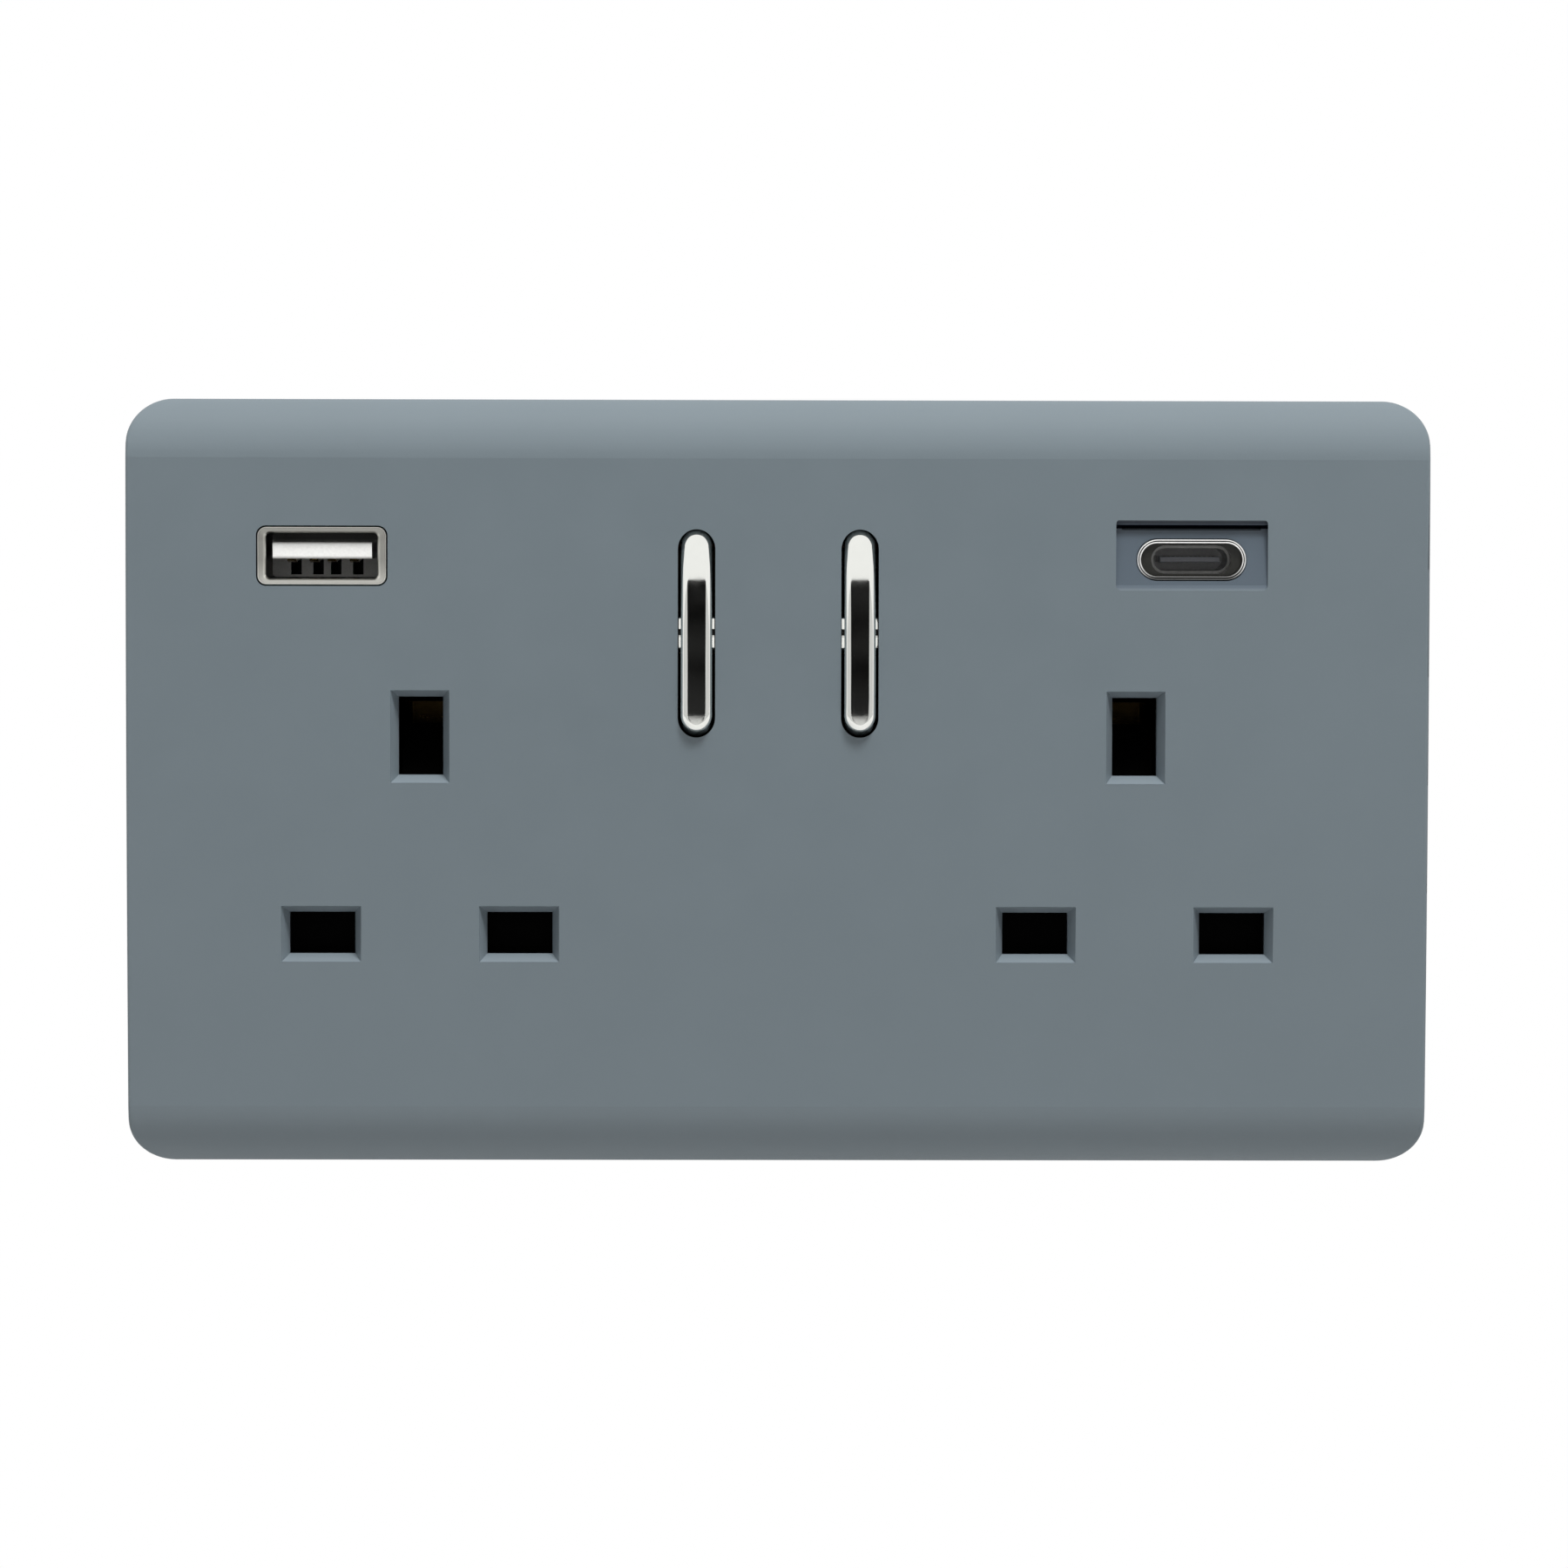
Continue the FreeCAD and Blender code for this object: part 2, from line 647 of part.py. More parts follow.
def catches():
    """Middle and direction of each snap between cover and frame."""
    far_x = PLATE_WIDTH / 2 - CATCH_INSET[0]
    far_z = PLATE_HEIGHT / 2 - CATCH_INSET[1]
    across = [(x, sign) for x in (-far_x, 0, far_x) for sign in (LEFT, RIGHT)]
    return across, [(z, sign) for z in (-far_z, far_z) for sign in (LEFT, RIGHT)]


def barb(along, inner, hold):
    """A wedge on the wall that snaps into the frame's window."""
    near, far = CATCH_WINDOW
    near += CATCH_GAP
    far -= CATCH_GAP
    points = ((-far, inner + 0.5), (-far, inner - hold), (-far + 0.4, inner - hold), (-near, inner + 0.5))
    half = CATCH_LENGTH / 2 - CATCH_GAP * 3
    return side_profile(points, along - half, along + half)


def pivot(side):
    return V(side * ROCKER_X, -PIVOT_DEPTH, ROCKER_Z)


def wheel(radius, half_width, rim):
    """A disc about the X axis whose rim has a round section."""
    core = radius - rim
    profile = Part.Wire([
        Part.makeLine(V(-half_width, 0, 0), V(-half_width, 0, core)),
        Part.Arc(V(-half_width, 0, core), V(0, 0, radius), V(half_width, 0, core)).toShape(),
        Part.makeLine(V(half_width, 0, core), V(half_width, 0, 0)),
        Part.makeLine(V(half_width, 0, 0), V(-half_width, 0, 0)),
    ])
    return Part.Face(profile).revolve(V(0, 0, 0), V(1, 0, 0), 360)


def front_cover():
    body = soften_rim(cover_outside())
    body = cut(body, cover_inside())
    tools = []
    for side in SIDES.values():
        for x, z, size in pin_slots(side):
            tools.append(lead_in(x, z, size))
            tools.append(through(rectangle(x, z, *size), -PLATE_DEPTH, -1))
        slot = wheel(SWEEP_RADIUS, SLOT_WIDTH / 2, SLOT_WIDTH / 2)
        slot.translate(pivot(side))
        tools.append(slot)
    gap = 2 * PORT_GAP
    window = rectangle(PORT_A_X, PORT_A_Z, PORT_A_LIP[0] + gap, PORT_A_LIP[1] + gap, 1.1)
    tools.append(through(window, -PLATE_DEPTH - 1, -1))
    tools.append(port_c_recess())
    tools.append(recess_slit())
    seat = stadium(PORT_C_X, PORT_C_Z, TRIM_OUTSIDE[0] + 0.1, TRIM_OUTSIDE[1] + 0.1)
    tools.append(through(seat, -PLATE_DEPTH - 1, -1))
    body = cut(body, *tools)
    wall_z = PLATE_HEIGHT / 2 - SIDE_WALL
    wall_x = PLATE_WIDTH / 2 - SIDE_WALL
    hold = FRAME_GAP + CATCH_HOLD
    across, upright = catches()
    for x, sign in across:
        piece = barb(x, wall_z, hold)
        if sign == LEFT:
            piece = piece.mirror(V(0, 0, 0), V(0, 0, 1))
        body = body.fuse(piece)
    for z, sign in upright:
        piece = barb(0, wall_x, hold)
        piece.rotate(V(0, 0, 0), V(0, 1, 0), 90 * sign)
        piece.translate(V(0, 0, z))
        body = body.fuse(piece)
    return body.removeSplitter()


def inner_outline(extra=0.0):
    return notched(HOUSING_HALF, HOUSING_NOTCH, HOUSING_WALL + extra)


def mounting_frame():
    half_x = PLATE_WIDTH / 2 - SIDE_WALL - FRAME_GAP
    half_z = PLATE_HEIGHT / 2 - SIDE_WALL - FRAME_GAP
    body = through(rectangle(0, 0, 2 * half_x, 2 * half_z, FRAME_CORNER), -FRAME_FLANGE, 0)
    rear = [e for e in body.Edges if e.BoundBox.YMin > -0.01]
    body = body.makeFillet(FRAME_BEND, rear)
    sheet = 2 * FRAME_SHEET
    tray = rectangle(0, 0, 2 * half_x - sheet, 2 * half_z - sheet, FRAME_CORNER - FRAME_SHEET)
    tools = [
        through(tray, -FRAME_FLANGE - 1, -FRAME_SHEET),
        through(inner_outline(WINDOW_INSET), -FRAME_FLANGE - 1, 1),
    ]
    for sign in SIDES.values():
        x = sign * FIXING_X
        tools.append(rod(FIXING_RADIUS, V(x, -FRAME_FLANGE, 0), V(x, 1, 0)))
    for x, z in SCREW_PLACES:
        tools.append(rod(POST_RADIUS + COVER_GAP, V(x, -FRAME_FLANGE, z), V(x, 1, z)))
    near, far = CATCH_WINDOW
    half = CATCH_LENGTH / 2
    across, upright = catches()
    for x, sign in across:
        z = sign * half_z
        tools.append(box(x - half, x + half, -far, -near, z - 2, z + 2))
    for z, sign in upright:
        x = sign * half_x
        tools.append(box(x - 2, x + 2, -far, -near, z - half, z + half))
    return cut(body, *tools)


def rocker_well(side, grow, y0, y1):
    outline = stadium(
        side * ROCKER_X, ROCKER_Z,
        SLOT_WIDTH + 2 * (WELL_GAP + grow), 2 * (SWEEP_RADIUS + WELL_GAP + grow),
    )
    return through(outline, y0, y1)


def shutter_rails(side):
    """Guides at both ends of a shutter, each with a lip behind it."""
    x = side * OUTLET_X
    rails = []
    bottom = LINE_PIN_Z - LINE_SLOT[1] / 2 - SHUTTER_LAP - SHUTTER_TRAVEL
    top = LINE_PIN_Z + LINE_SLOT[1] / 2 + SHUTTER_LAP + 3
    for sign in SIDES.values():
        inside = SHUTTER_HALF + SHUTTER_GAP
        lip = SHUTTER_BACK - SHUTTER_GAP
        rail = (
            (x + sign * inside, x + sign * (inside + RAIL_WALL), -MOULDING_BACK - 0.5, -lip + RAIL_LIP),
            (x + sign * (inside - RAIL_LIP), x + sign * (inside + RAIL_WALL), -lip, -lip + RAIL_LIP),
        )
        for x0, x1, y0, y1 in rail:
            rails.append(box(min(x0, x1), max(x0, x1), y0, y1, bottom, top))
    return rails


def spring_ledge_top():
    return LINE_PIN_Z + LINE_SLOT[1] / 2 + SHUTTER_LAP - SPRING_SPACE


def spring_y():
    return -MOULDING_BACK + SPRING_RADIUS + SPRING_WIRE / 2 + 2 * SHUTTER_GAP


def spring_ledge(side):
    x = side * OUTLET_X
    top = spring_ledge_top()
    y = spring_y()
    shelf = box(x - 3, x + 3, -MOULDING_BACK - 0.5, y + SPRING_RADIUS + 0.6, top - 1.5, top)
    peg = rod(PEG_RADIUS, V(x, y, top - 0.5), V(x, y, top + PEG_LENGTH))
    return [shelf, peg]


def front_moulding():
    body = through(notched(MOULDING_HALF, MOULDING_NOTCH), -MOULDING_FRONT, -FRAME_SHEET)
    hollow = through(
        notched(MOULDING_HALF, MOULDING_NOTCH, SKIRT_WALL), -MOULDING_BACK, 0,
    )
    body = cut(body, hollow)
    extras = []
    for side in SIDES.values():
        extras.append(rocker_well(side, WELL_WALL, -MOULDING_FRONT, -FRAME_SHEET))
        extras.extend(shutter_rails(side))
        extras.extend(spring_ledge(side))
        reach = TRUNNION_REACH + WELL_WALL
        x = side * ROCKER_X
        extras.append(box(
            x - reach, x + reach, -MOULDING_FRONT, -PIVOT_DEPTH + CHEEK_DEPTH,
            ROCKER_Z - EAR_RADIUS - CHEEK_MARGIN, ROCKER_Z + EAR_RADIUS + CHEEK_MARGIN,
        ))
    for x, z in SCREW_PLACES:
        extras.append(rod(POST_RADIUS, V(x, -MOULDING_BACK - 0.5, z), V(x, 0, z)))
    body = fuse(body, *extras)
    tools = []
    for side in SIDES.values():
        for x, z, size in pin_slots(side):
            wider = [length + 2 * SLOT_SLACK for length in size]
            tools.append(through(rectangle(x, z, *wider), -PLATE_DEPTH, -MOULDING_BACK + 0.01))
        tools.append(rocker_well(side, 0, -PLATE_DEPTH, 1))
        x = side * ROCKER_X
        radius = TRUNNION_RADIUS + SCREW_GAP
        reach = TRUNNION_REACH + COVER_GAP / 2
        bearing = rod(radius, V(-reach, 0, 0), V(reach, 0, 0))
        bearing.translate(pivot(side))
        tools.append(bearing)
        low, high = ROCKER_Z - radius, ROCKER_Z + radius
        tools.append(box(x - reach, x + reach, -PLATE_DEPTH, -PIVOT_DEPTH, low, high))
    for x, z in SCREW_PLACES:
        tools.append(rod(SCREW_RADIUS + SCREW_GAP, V(x, -SCREW_TIP - 0.3, z), V(x, 1, z)))
    around_a = [size + 2 * PORT_CLEARANCE for size in PORT_A_LIP]
    around_c = [size + 2 * (TRIM_RIM + PORT_CLEARANCE) for size in TRIM_OUTSIDE]
    tools.append(through(rectangle(PORT_A_X, PORT_A_Z, *around_a, 1.0), -PLATE_DEPTH, 0))
    tools.append(through(rectangle(PORT_C_X, PORT_C_Z, *around_c, 1.0), -PLATE_DEPTH, 0))
    return cut(body, *tools)


def support_pads():
    """Pillars of the rear wall that carry the bars: (x0, x1, z0, z1, front face)."""
    line = LINE_LAYER + STRIP_THICK
    earth = EARTH_LAYER + STRIP_THICK
    left_neutral = -OUTLET_X - PIN_SPREAD
    right_neutral = OUTLET_X - PIN_SPREAD
    left_live = -OUTLET_X + PIN_SPREAD
    right_live = OUTLET_X + PIN_SPREAD
    size_x = TERMINAL_SIZE[0]
    a = PAD_HALF
    pads = [
        (
            TERMINAL_X[0] - size_x / 2 - 1, TERMINAL_X[3] + size_x / 2 + 1,
            TERMINAL_BOTTOM, TERMINAL_TOP, TERMINAL_BACK,
        ),
        (left_live - a, left_live + a, EARTH_RUN[1] + a, EARTH_RUN[1] + 4 * a, line),
        (LIVE_TURN_X - a, LIVE_TURN_X + a, EARTH_RUN[1] + a, EARTH_RUN[1] + 4 * a, line),
        (TERMINAL_X[2] - a, TERMINAL_X[2] + a, EARTH_RUN[0] - 3.5 * a, EARTH_RUN[0] - a, line),
    ]
    for x in (left_neutral, right_neutral, left_live, right_live):
        pads.append((x - a, x + a, LINE_PIN_Z - a, LINE_PIN_Z + a, line))
    for side in SIDES.values():
        x = side * OUTLET_X
        pads.append((x - a, x + a, EARTH_PIN_Z - a, EARTH_PIN_Z + a, earth))
        x = side * ROCKER_X
        low = ROCKER_Z - SEESAW_REACH
        pads.append((x - a, x + a, low - 0.6, low + 1.6, stop_y()))
    return pads


def stop_y():
    """Where a see-saw contact comes to rest when its switch is off."""
    return SEESAW_DEPTH + SEESAW_REACH * math.sin(SEESAW_SWING) + SEESAW_THICK / 2 + CLOSED_GAP


def funnel(radius, start, end):
    """A cone that opens by as much as it is long."""
    along = end - start
    return Part.makeCone(radius, radius + along.Length, along.Length, start, along)


def driver_way(x):
    """The hole for a driver behind a terminal, with its funnel and its pocket."""
    z = TERMINAL_TOP - TERMINAL_SIZE[2] / 2
    width, height, deep = DRIVER_POCKET
    floor = HOUSING_DEPTH - deep
    return [
        rod(DRIVER_HOLE, V(x, TERMINAL_BACK - 1, z), V(x, HOUSING_DEPTH + 1, z)),
        funnel(DRIVER_HOLE, V(x, floor - FUNNEL, z), V(x, floor, z)),
        through(rectangle(x, z, width, height, POCKET_ROUND), floor, HOUSING_DEPTH + 1),
    ]


def wire_way(x):
    """The hole for a cable's core below a terminal, with its funnel."""
    edge = -HOUSING_HALF[1]
    return [
        rod(WIRE_HOLE, V(x, WIRE_Y, edge - 1), V(x, WIRE_Y, TERMINAL_BOTTOM - 2)),
        funnel(WIRE_HOLE, V(x, WIRE_Y, edge + FUNNEL), V(x, WIRE_Y, edge)),
    ]


def rear_housing():
    body = through(notched(HOUSING_HALF, HOUSING_NOTCH), 0, HOUSING_DEPTH)
    rear = [e for e in body.Edges if e.BoundBox.YMin > HOUSING_DEPTH - 0.01]
    body = body.makeFillet(HOUSING_ROUND, rear)
    body = cut(body, through(inner_outline(), -1, REAR_INSIDE))
    extras = []
    for x0, x1, z0, z1, front in support_pads():
        extras.append(box(x0, x1, front, REAR_INSIDE + 0.5, z0, z1))
    for x, z in SCREW_PLACES:
        extras.append(rod(POST_RADIUS, V(x, 0, z), V(x, BOARD_BACK + 1, z)))
        extras.append(rod(TUBE_OUTSIDE, V(x, BOARD_BACK, z), V(x, REAR_INSIDE + 0.5, z)))
    body = fuse(body, *extras)
    tools = []
    for x, z in SCREW_PLACES:
        tools.append(rod(SCREW_RADIUS + SCREW_GAP, V(x, -1, z), V(x, SCREW_HEAD_DEPTH + 1, z)))
        tools.append(rod(HEAD_HOLE, V(x, SCREW_HEAD_DEPTH, z), V(x, HOUSING_DEPTH + 1, z)))
        wider, deep = HEAD_RELIEF
        tools.append(rod(HEAD_HOLE + wider, V(x, HOUSING_DEPTH - deep, z), V(x, HOUSING_DEPTH + 1, z)))
    for x in TERMINAL_X:
        tools.extend(driver_way(x))
        tools.extend(wire_way(x))
    return cut(body, *tools)


def tilted(shape, side):
    """Turns a rocker's piece to its off position."""
    shape.rotate(pivot(side), V(1, 0, 0), -ROCKER_TILT)
    return shape


def bowed_block(front, back, half_length, bow, x0, x1):
    """A block with a front face that bulges towards the user."""
    sag = bow - math.sqrt(bow * bow - half_length * half_length)
    ends = V(x0, sag - front, half_length)
    edges = [
        Part.Arc(mirrored(ends), V(x0, -front, 0), ends).toShape(),
        Part.makeLine(ends, V(x0, -back, half_length)),
        Part.makeLine(V(x0, -back, half_length), V(x0, -back, -half_length)),
        Part.makeLine(V(x0, -back, -half_length), mirrored(ends)),
    ]
    return Part.Face(Part.Wire(edges)).extrude(V(x1 - x0, 0, 0))


def rocker_bar(side):
    half = BAR_WIDTH / 2
    disc = wheel(ROCKER_RADIUS, half, half)
    block = bowed_block(BAR_RISE, BAR_SEAM, ROCKER_RADIUS + 1, BAR_BOW, -half - 1, half + 1)
    bar = disc.common(block)
    front = []
    for edge in bar.Edges:
        middle = edge.valueAt((edge.FirstParameter + edge.LastParameter) / 2)
        if middle.y < -BAR_SEAM - 0.5 and edge.BoundBox.YMax < -BAR_SEAM - 0.1:
            front.append(edge)
    bar = bar.makeFillet(BAR_ROUND, front)
    ears = []
    for sign in SIDES.values():
        ears.append(rod(EAR_RADIUS, V(sign * EAR_INSIDE, 0, 0), V(sign * EAR_OUTSIDE, 0, 0)))
    bar = fuse(bar, *ears)
    hole = rod(TRUNNION_RADIUS + TRUNNION_GAP, V(-half - 1, 0, 0), V(half + 1, 0, 0))
    reach = ROCKER_RADIUS - RIB_INSET + RIB_GAP
    wide = RIB_HALF + RIB_GAP
    groove = box(-wide, wide, -BAR_SEAM - RIB_DEPTH, -BAR_SEAM + 0.01, -reach, reach)
    bar = cut(bar, hole, groove)
    bar.translate(pivot(side))
    return tilted(bar, side)


def rocker_carrier(side):
    half = EAR_INSIDE - CARRIER_GAP
    length = ROCKER_RADIUS - CARRIER_SETBACK
    back, waist = CARRIER_WAIST
    body = side_profile((
        (-BAR_SEAM, -length), (-BAR_SEAM, length), (-BAR_SEAM + 1, length),
        (back, waist), (back, -waist), (-BAR_SEAM + 1, -length),
    ), -half, half)
    reach = ROCKER_RADIUS - RIB_INSET
    rib = box(-RIB_HALF, RIB_HALF, RIB_GAP - BAR_SEAM - RIB_DEPTH, -BAR_SEAM + 0.5, -reach, reach)
    trunnion = rod(TRUNNION_RADIUS, V(-TRUNNION_REACH, 0, 0), V(TRUNNION_REACH, 0, 0))
    tube = rod(TUBE_RADIUS, V(0, EAR_RADIUS + 0.2, 0), V(0, TUBE_LENGTH, 0))
    neck = rod(half, V(0, 0, 0), V(0, EAR_RADIUS + 0.3, 0))
    body = fuse(body, rib, trunnion, tube, neck)
    bore = rod(TUBE_BORE, V(0, EAR_RADIUS + TUBE_FLOOR - 1, 0), V(0, TUBE_LENGTH + 1, 0))
    body = cut(body, bore)
    body.translate(pivot(side))
    return tilted(body, side)


def plunger_end():
    """How far the plunger's tip stands behind the rocker's pivot."""
    return PIVOT_DEPTH + SEESAW_DEPTH - SEESAW_THICK / 2 - 0.2


def plunger(side):
    end = plunger_end()
    shaft = rod(PLUNGER_RADIUS, V(0, end - PLUNGER_LENGTH, 0), V(0, end - PLUNGER_RADIUS, 0))
    tip = Part.makeSphere(PLUNGER_RADIUS, V(0, end - PLUNGER_RADIUS, 0))
    body = fuse(shaft, tip)
    body.translate(pivot(side))
    return tilted(body, side)


def plunger_spring(side):
    floor = EAR_RADIUS + TUBE_FLOOR - 1
    space = plunger_end() - PLUNGER_LENGTH - floor
    radius = TUBE_BORE - PLUNGER_WIRE / 2 - 0.1
    body = coil(radius, PLUNGER_WIRE, space, PLUNGER_TURNS, V(0, floor, 0), V(0, 1, 0))
    body.translate(pivot(side))
    return tilted(body, side)


def seesaw_place(shape, side):
    shape.translate(V(side * ROCKER_X, SEESAW_DEPTH, ROCKER_Z))
    shape.rotate(V(side * ROCKER_X, SEESAW_DEPTH, ROCKER_Z), V(1, 0, 0), SEESAW_TILT)
    return shape


def seesaw_contact(side):
    half_x, half_y = SEESAW_WIDTH / 2, SEESAW_THICK / 2
    plan = rectangle(0, 0, SEESAW_WIDTH, 2 * SEESAW_REACH, 1.2)
    body = through(plan, -half_y, half_y)
    return seesaw_place(body, side)


def moving_tip(side):
    start = SEESAW_THICK / 2
    top = start + TIP_HEIGHT
    body = rod(TIP_RADIUS, V(0, start, TIP_ARM), V(0, top, TIP_ARM))
    dome = Part.makeSphere(TIP_DOME, V(0, top - TIP_DOME, TIP_ARM))
    return seesaw_place(body.common(dome), side)


def fixed_tips():
    tips = []
    for side in SIDES.values():
        x = side * ROCKER_X
        tips.append(rod(TIP_RADIUS, V(x, TIP_FACE, TIP_Z), V(x, LINE_LAYER, TIP_Z)))
    return Part.makeCompound(tips)


def clip_points(mouth_y, layer, grip):
    """Edge-on line of a spring clip, from one flared lip to the other."""
    base = layer + STRIP_THICK / 2
    pinch = grip - PIN_GRIP + STRIP_THICK / 2
    wide = CLIP_MOUTH + STRIP_THICK / 2
    deep, flare = CLIP_FLARE
    return (
        (mouth_y, wide - flare), (mouth_y + deep, pinch), (base, wide),
        (base, -wide), (mouth_y + deep, -pinch), (mouth_y, -wide + flare),
    )


def line_clip(x):
    """Grips a flat pin from above and below."""
    line = clip_points(LINE_CLIP_MOUTH, LINE_LAYER, LINE_PIN_HALF)
    body = strip_x(line, STRIP_THICK, STRIP_BEND, x, CLIP_WIDTH)
    body.translate(V(0, 0, LINE_PIN_Z))
    return body


def earth_clip(x):
    """Grips the upright pin from both sides."""
    line = clip_points(EARTH_CLIP_MOUTH, EARTH_LAYER, EARTH_PIN_HALF)
    body = strip_x(line, STRIP_THICK, STRIP_BEND, 0, CLIP_WIDTH)
    body.rotate(V(0, 0, 0), V(0, 1, 0), 90)
    body.translate(V(x, 0, EARTH_PIN_Z))
    return body


def flat_bar(points, layer):
    return through(polygon(points), layer, layer + STRIP_THICK)


def neutral_bar():
    half = BAR_BREADTH / 2
    left = -OUTLET_X - PIN_SPREAD
    right = OUTLET_X - PIN_SPREAD
    terminal = TERMINAL_X[1]
    top = NEUTRAL_TOP
    low = top - NEUTRAL_BREADTH
    base = LINE_PIN_Z - 1
    leg = left + NEUTRAL_LEG
    bar = flat_bar((
        (leg - half, low), (right + half, low), (right + half, base), (right - half, base),
        (right - half, top), (terminal + half, top), (terminal + half, TERMINAL_TOP - 1.5),
        (terminal - half, TERMINAL_TOP - 1.5), (terminal - half, top), (leg + half, top),
        (leg + half, base), (leg - half, base),
    ), LINE_LAYER)
    return fuse(bar, line_clip(left), line_clip(right))


def live_bar():
    half = BAR_BREADTH / 2
    x = TERMINAL_X[2]
    low, top = ROCKER_Z - 2.2, ROCKER_Z + 2.2
    reach = LIVE_REACH
    foot = TERMINAL_BOTTOM + 1
    bar = flat_bar((
        (x - half, foot), (x + half, foot), (x + half, low), (reach, low), (reach, top),
        (-reach, top), (-reach, low), (x - half, low),
    ), LINE_LAYER)
    ridges = []
    for side in SIDES.values():
        crest = SEESAW_DEPTH + SEESAW_THICK / 2 + SCREW_GAP
        base = LINE_LAYER + 0.1
        ridge = side_profile((
            (base, ROCKER_Z - 1.8), (crest + 0.5, ROCKER_Z - 0.45), (crest + 0.12, ROCKER_Z - 0.25),
            (crest, ROCKER_Z), (crest + 0.12, ROCKER_Z + 0.25), (crest + 0.5, ROCKER_Z + 0.45),
            (base, ROCKER_Z + 1.8),
        ), side * ROCKER_X - SEESAW_WIDTH / 2, side * ROCKER_X + SEESAW_WIDTH / 2)
        ridges.append(ridge)
    return fuse(bar, *ridges)


def live_contact_left():
    half = BAR_BREADTH / 2
    x = -OUTLET_X + PIN_SPREAD
    end = -ROCKER_X + half
    bar = flat_bar((
        (x - half, LINE_PIN_Z + 1), (x + half, LINE_PIN_Z + 1), (x + half, TIP_Z - half),
        (end, TIP_Z - half), (end, TIP_Z + half), (x - half, TIP_Z + half),
    ), LINE_LAYER)
    return fuse(bar, line_clip(x))


def live_contact_right():
    half = BAR_BREADTH / 2
    x = OUTLET_X + PIN_SPREAD
    start = ROCKER_X - half
    turn = LIVE_TURN_X
    low, high = LIVE_RUN_Z - half, LIVE_RUN_Z + half
    leg = x - LIVE_LEG
    bar = flat_bar((
        (start, TIP_Z - half), (turn - half, TIP_Z - half), (turn - half, low), (leg - half, low),
        (leg - half, LINE_PIN_Z - half), (x, LINE_PIN_Z - half), (x, LINE_PIN_Z + half),
        (leg + half, LINE_PIN_Z + half), (leg + half, high), (turn + half, high),
        (turn + half, TIP_Z + half), (start, TIP_Z + half),
    ), LINE_LAYER)
    return fuse(bar, line_clip(x))


def earth_bar():
    half = BAR_BREADTH / 2
    low, high = EARTH_RUN
    reach = OUTLET_X + 2.5
    clip_top = EARTH_PIN_Z + CLIP_WIDTH / 2
    bar = flat_bar((
        (-reach, low), (reach, low), (reach, clip_top), (OUTLET_X - 2.5, clip_top),
        (OUTLET_X - 2.5, high), (2.5 - OUTLET_X, high), (2.5 - OUTLET_X, clip_top), (-reach, clip_top),
    ), EARTH_LAYER)
    legs = []
    leaves, arrives = [TERMINAL_TOP + lift for lift in EARTH_JOG_LIFT]
    for x in (TERMINAL_X[0], TERMINAL_X[3]):
        rear = EARTH_LAYER + STRIP_THICK / 2
        front = LINE_LAYER + STRIP_THICK / 2
        legs.append(strip_x((
            (rear, low + 1), (rear, leaves), (front, arrives), (front, TERMINAL_BOTTOM + 1),
        ), STRIP_THICK, STRIP_BEND, x, BAR_BREADTH))
    clips = [earth_clip(side * OUTLET_X) for side in SIDES.values()]
    return fuse(bar, *legs, *clips)


def terminal(x):
    a, b, c = TERMINAL_SIZE
    z = TERMINAL_TOP - c / 2
    body = box(x - a / 2, x + a / 2, TERMINAL_FRONT, TERMINAL_BACK, z - c / 2, z + c / 2)
    long = [e for e in body.Edges if e.Length > c - 0.01 and e.BoundBox.ZLength > c - 0.01]
    body = body.makeFillet(TERMINAL_ROUND, long)
    bore = rod(WIRE_BORE, V(x, WIRE_Y, z - c), V(x, WIRE_Y, z + c))
    thread = rod(CLAMP_RADIUS + SCREW_GAP, V(x, WIRE_Y, z), V(x, TERMINAL_BACK + 1, z))
    return cut(body, bore, thread)


def terminal_screws():
    screws = []
    z = TERMINAL_TOP - TERMINAL_SIZE[2] / 2
    start = WIRE_Y + WIRE_BORE + 0.1
    end = start + CLAMP_LENGTH
    width, deep = CLAMP_SLOT
    for x in TERMINAL_X:
        body = rod(CLAMP_RADIUS, V(x, start, z), V(x, end, z))
        slot = box(x - 3, x + 3, end - deep, end + 1, z - width / 2, z + width / 2)
        screws.append(cut(body, slot))
    return Part.makeCompound(screws)


def housing_screws():
    screws = []
    radius, height = SCREW_HEAD
    slot, reach, deep = CROSS_SLOT
    seat = SCREW_HEAD_DEPTH
    for x, z in SCREW_PLACES:
        shank = rod(SCREW_RADIUS, V(x, -SCREW_TIP, z), V(x, seat + 0.5, z))
        head = rod(radius, V(x, seat, z), V(x, seat + height, z))
        head = head.makeFillet(0.5, [e for e in head.Edges if e.BoundBox.YMin > seat + height - 0.01])
        top = seat + height
        cross = [
            box(x - slot / 2, x + slot / 2, top - deep, top + 1, z - reach / 2, z + reach / 2),
            box(x - reach / 2, x + reach / 2, top - deep, top + 1, z - slot / 2, z + slot / 2),
        ]
        screws.append(cut(fuse(shank, head), *cross))
    return Part.makeCompound(screws)


def shutter_levels():
    """Lower and upper edge of a shutter's blades and the height of its ramp."""
    low = LINE_PIN_Z - LINE_SLOT[1] / 2 - SHUTTER_LAP
    high = LINE_PIN_Z + LINE_SLOT[1] / 2 + SHUTTER_LAP
    ramp = EARTH_PIN_Z - EARTH_SLOT[1] / 2 + SHUTTER_TRAVEL
    return low, high, ramp


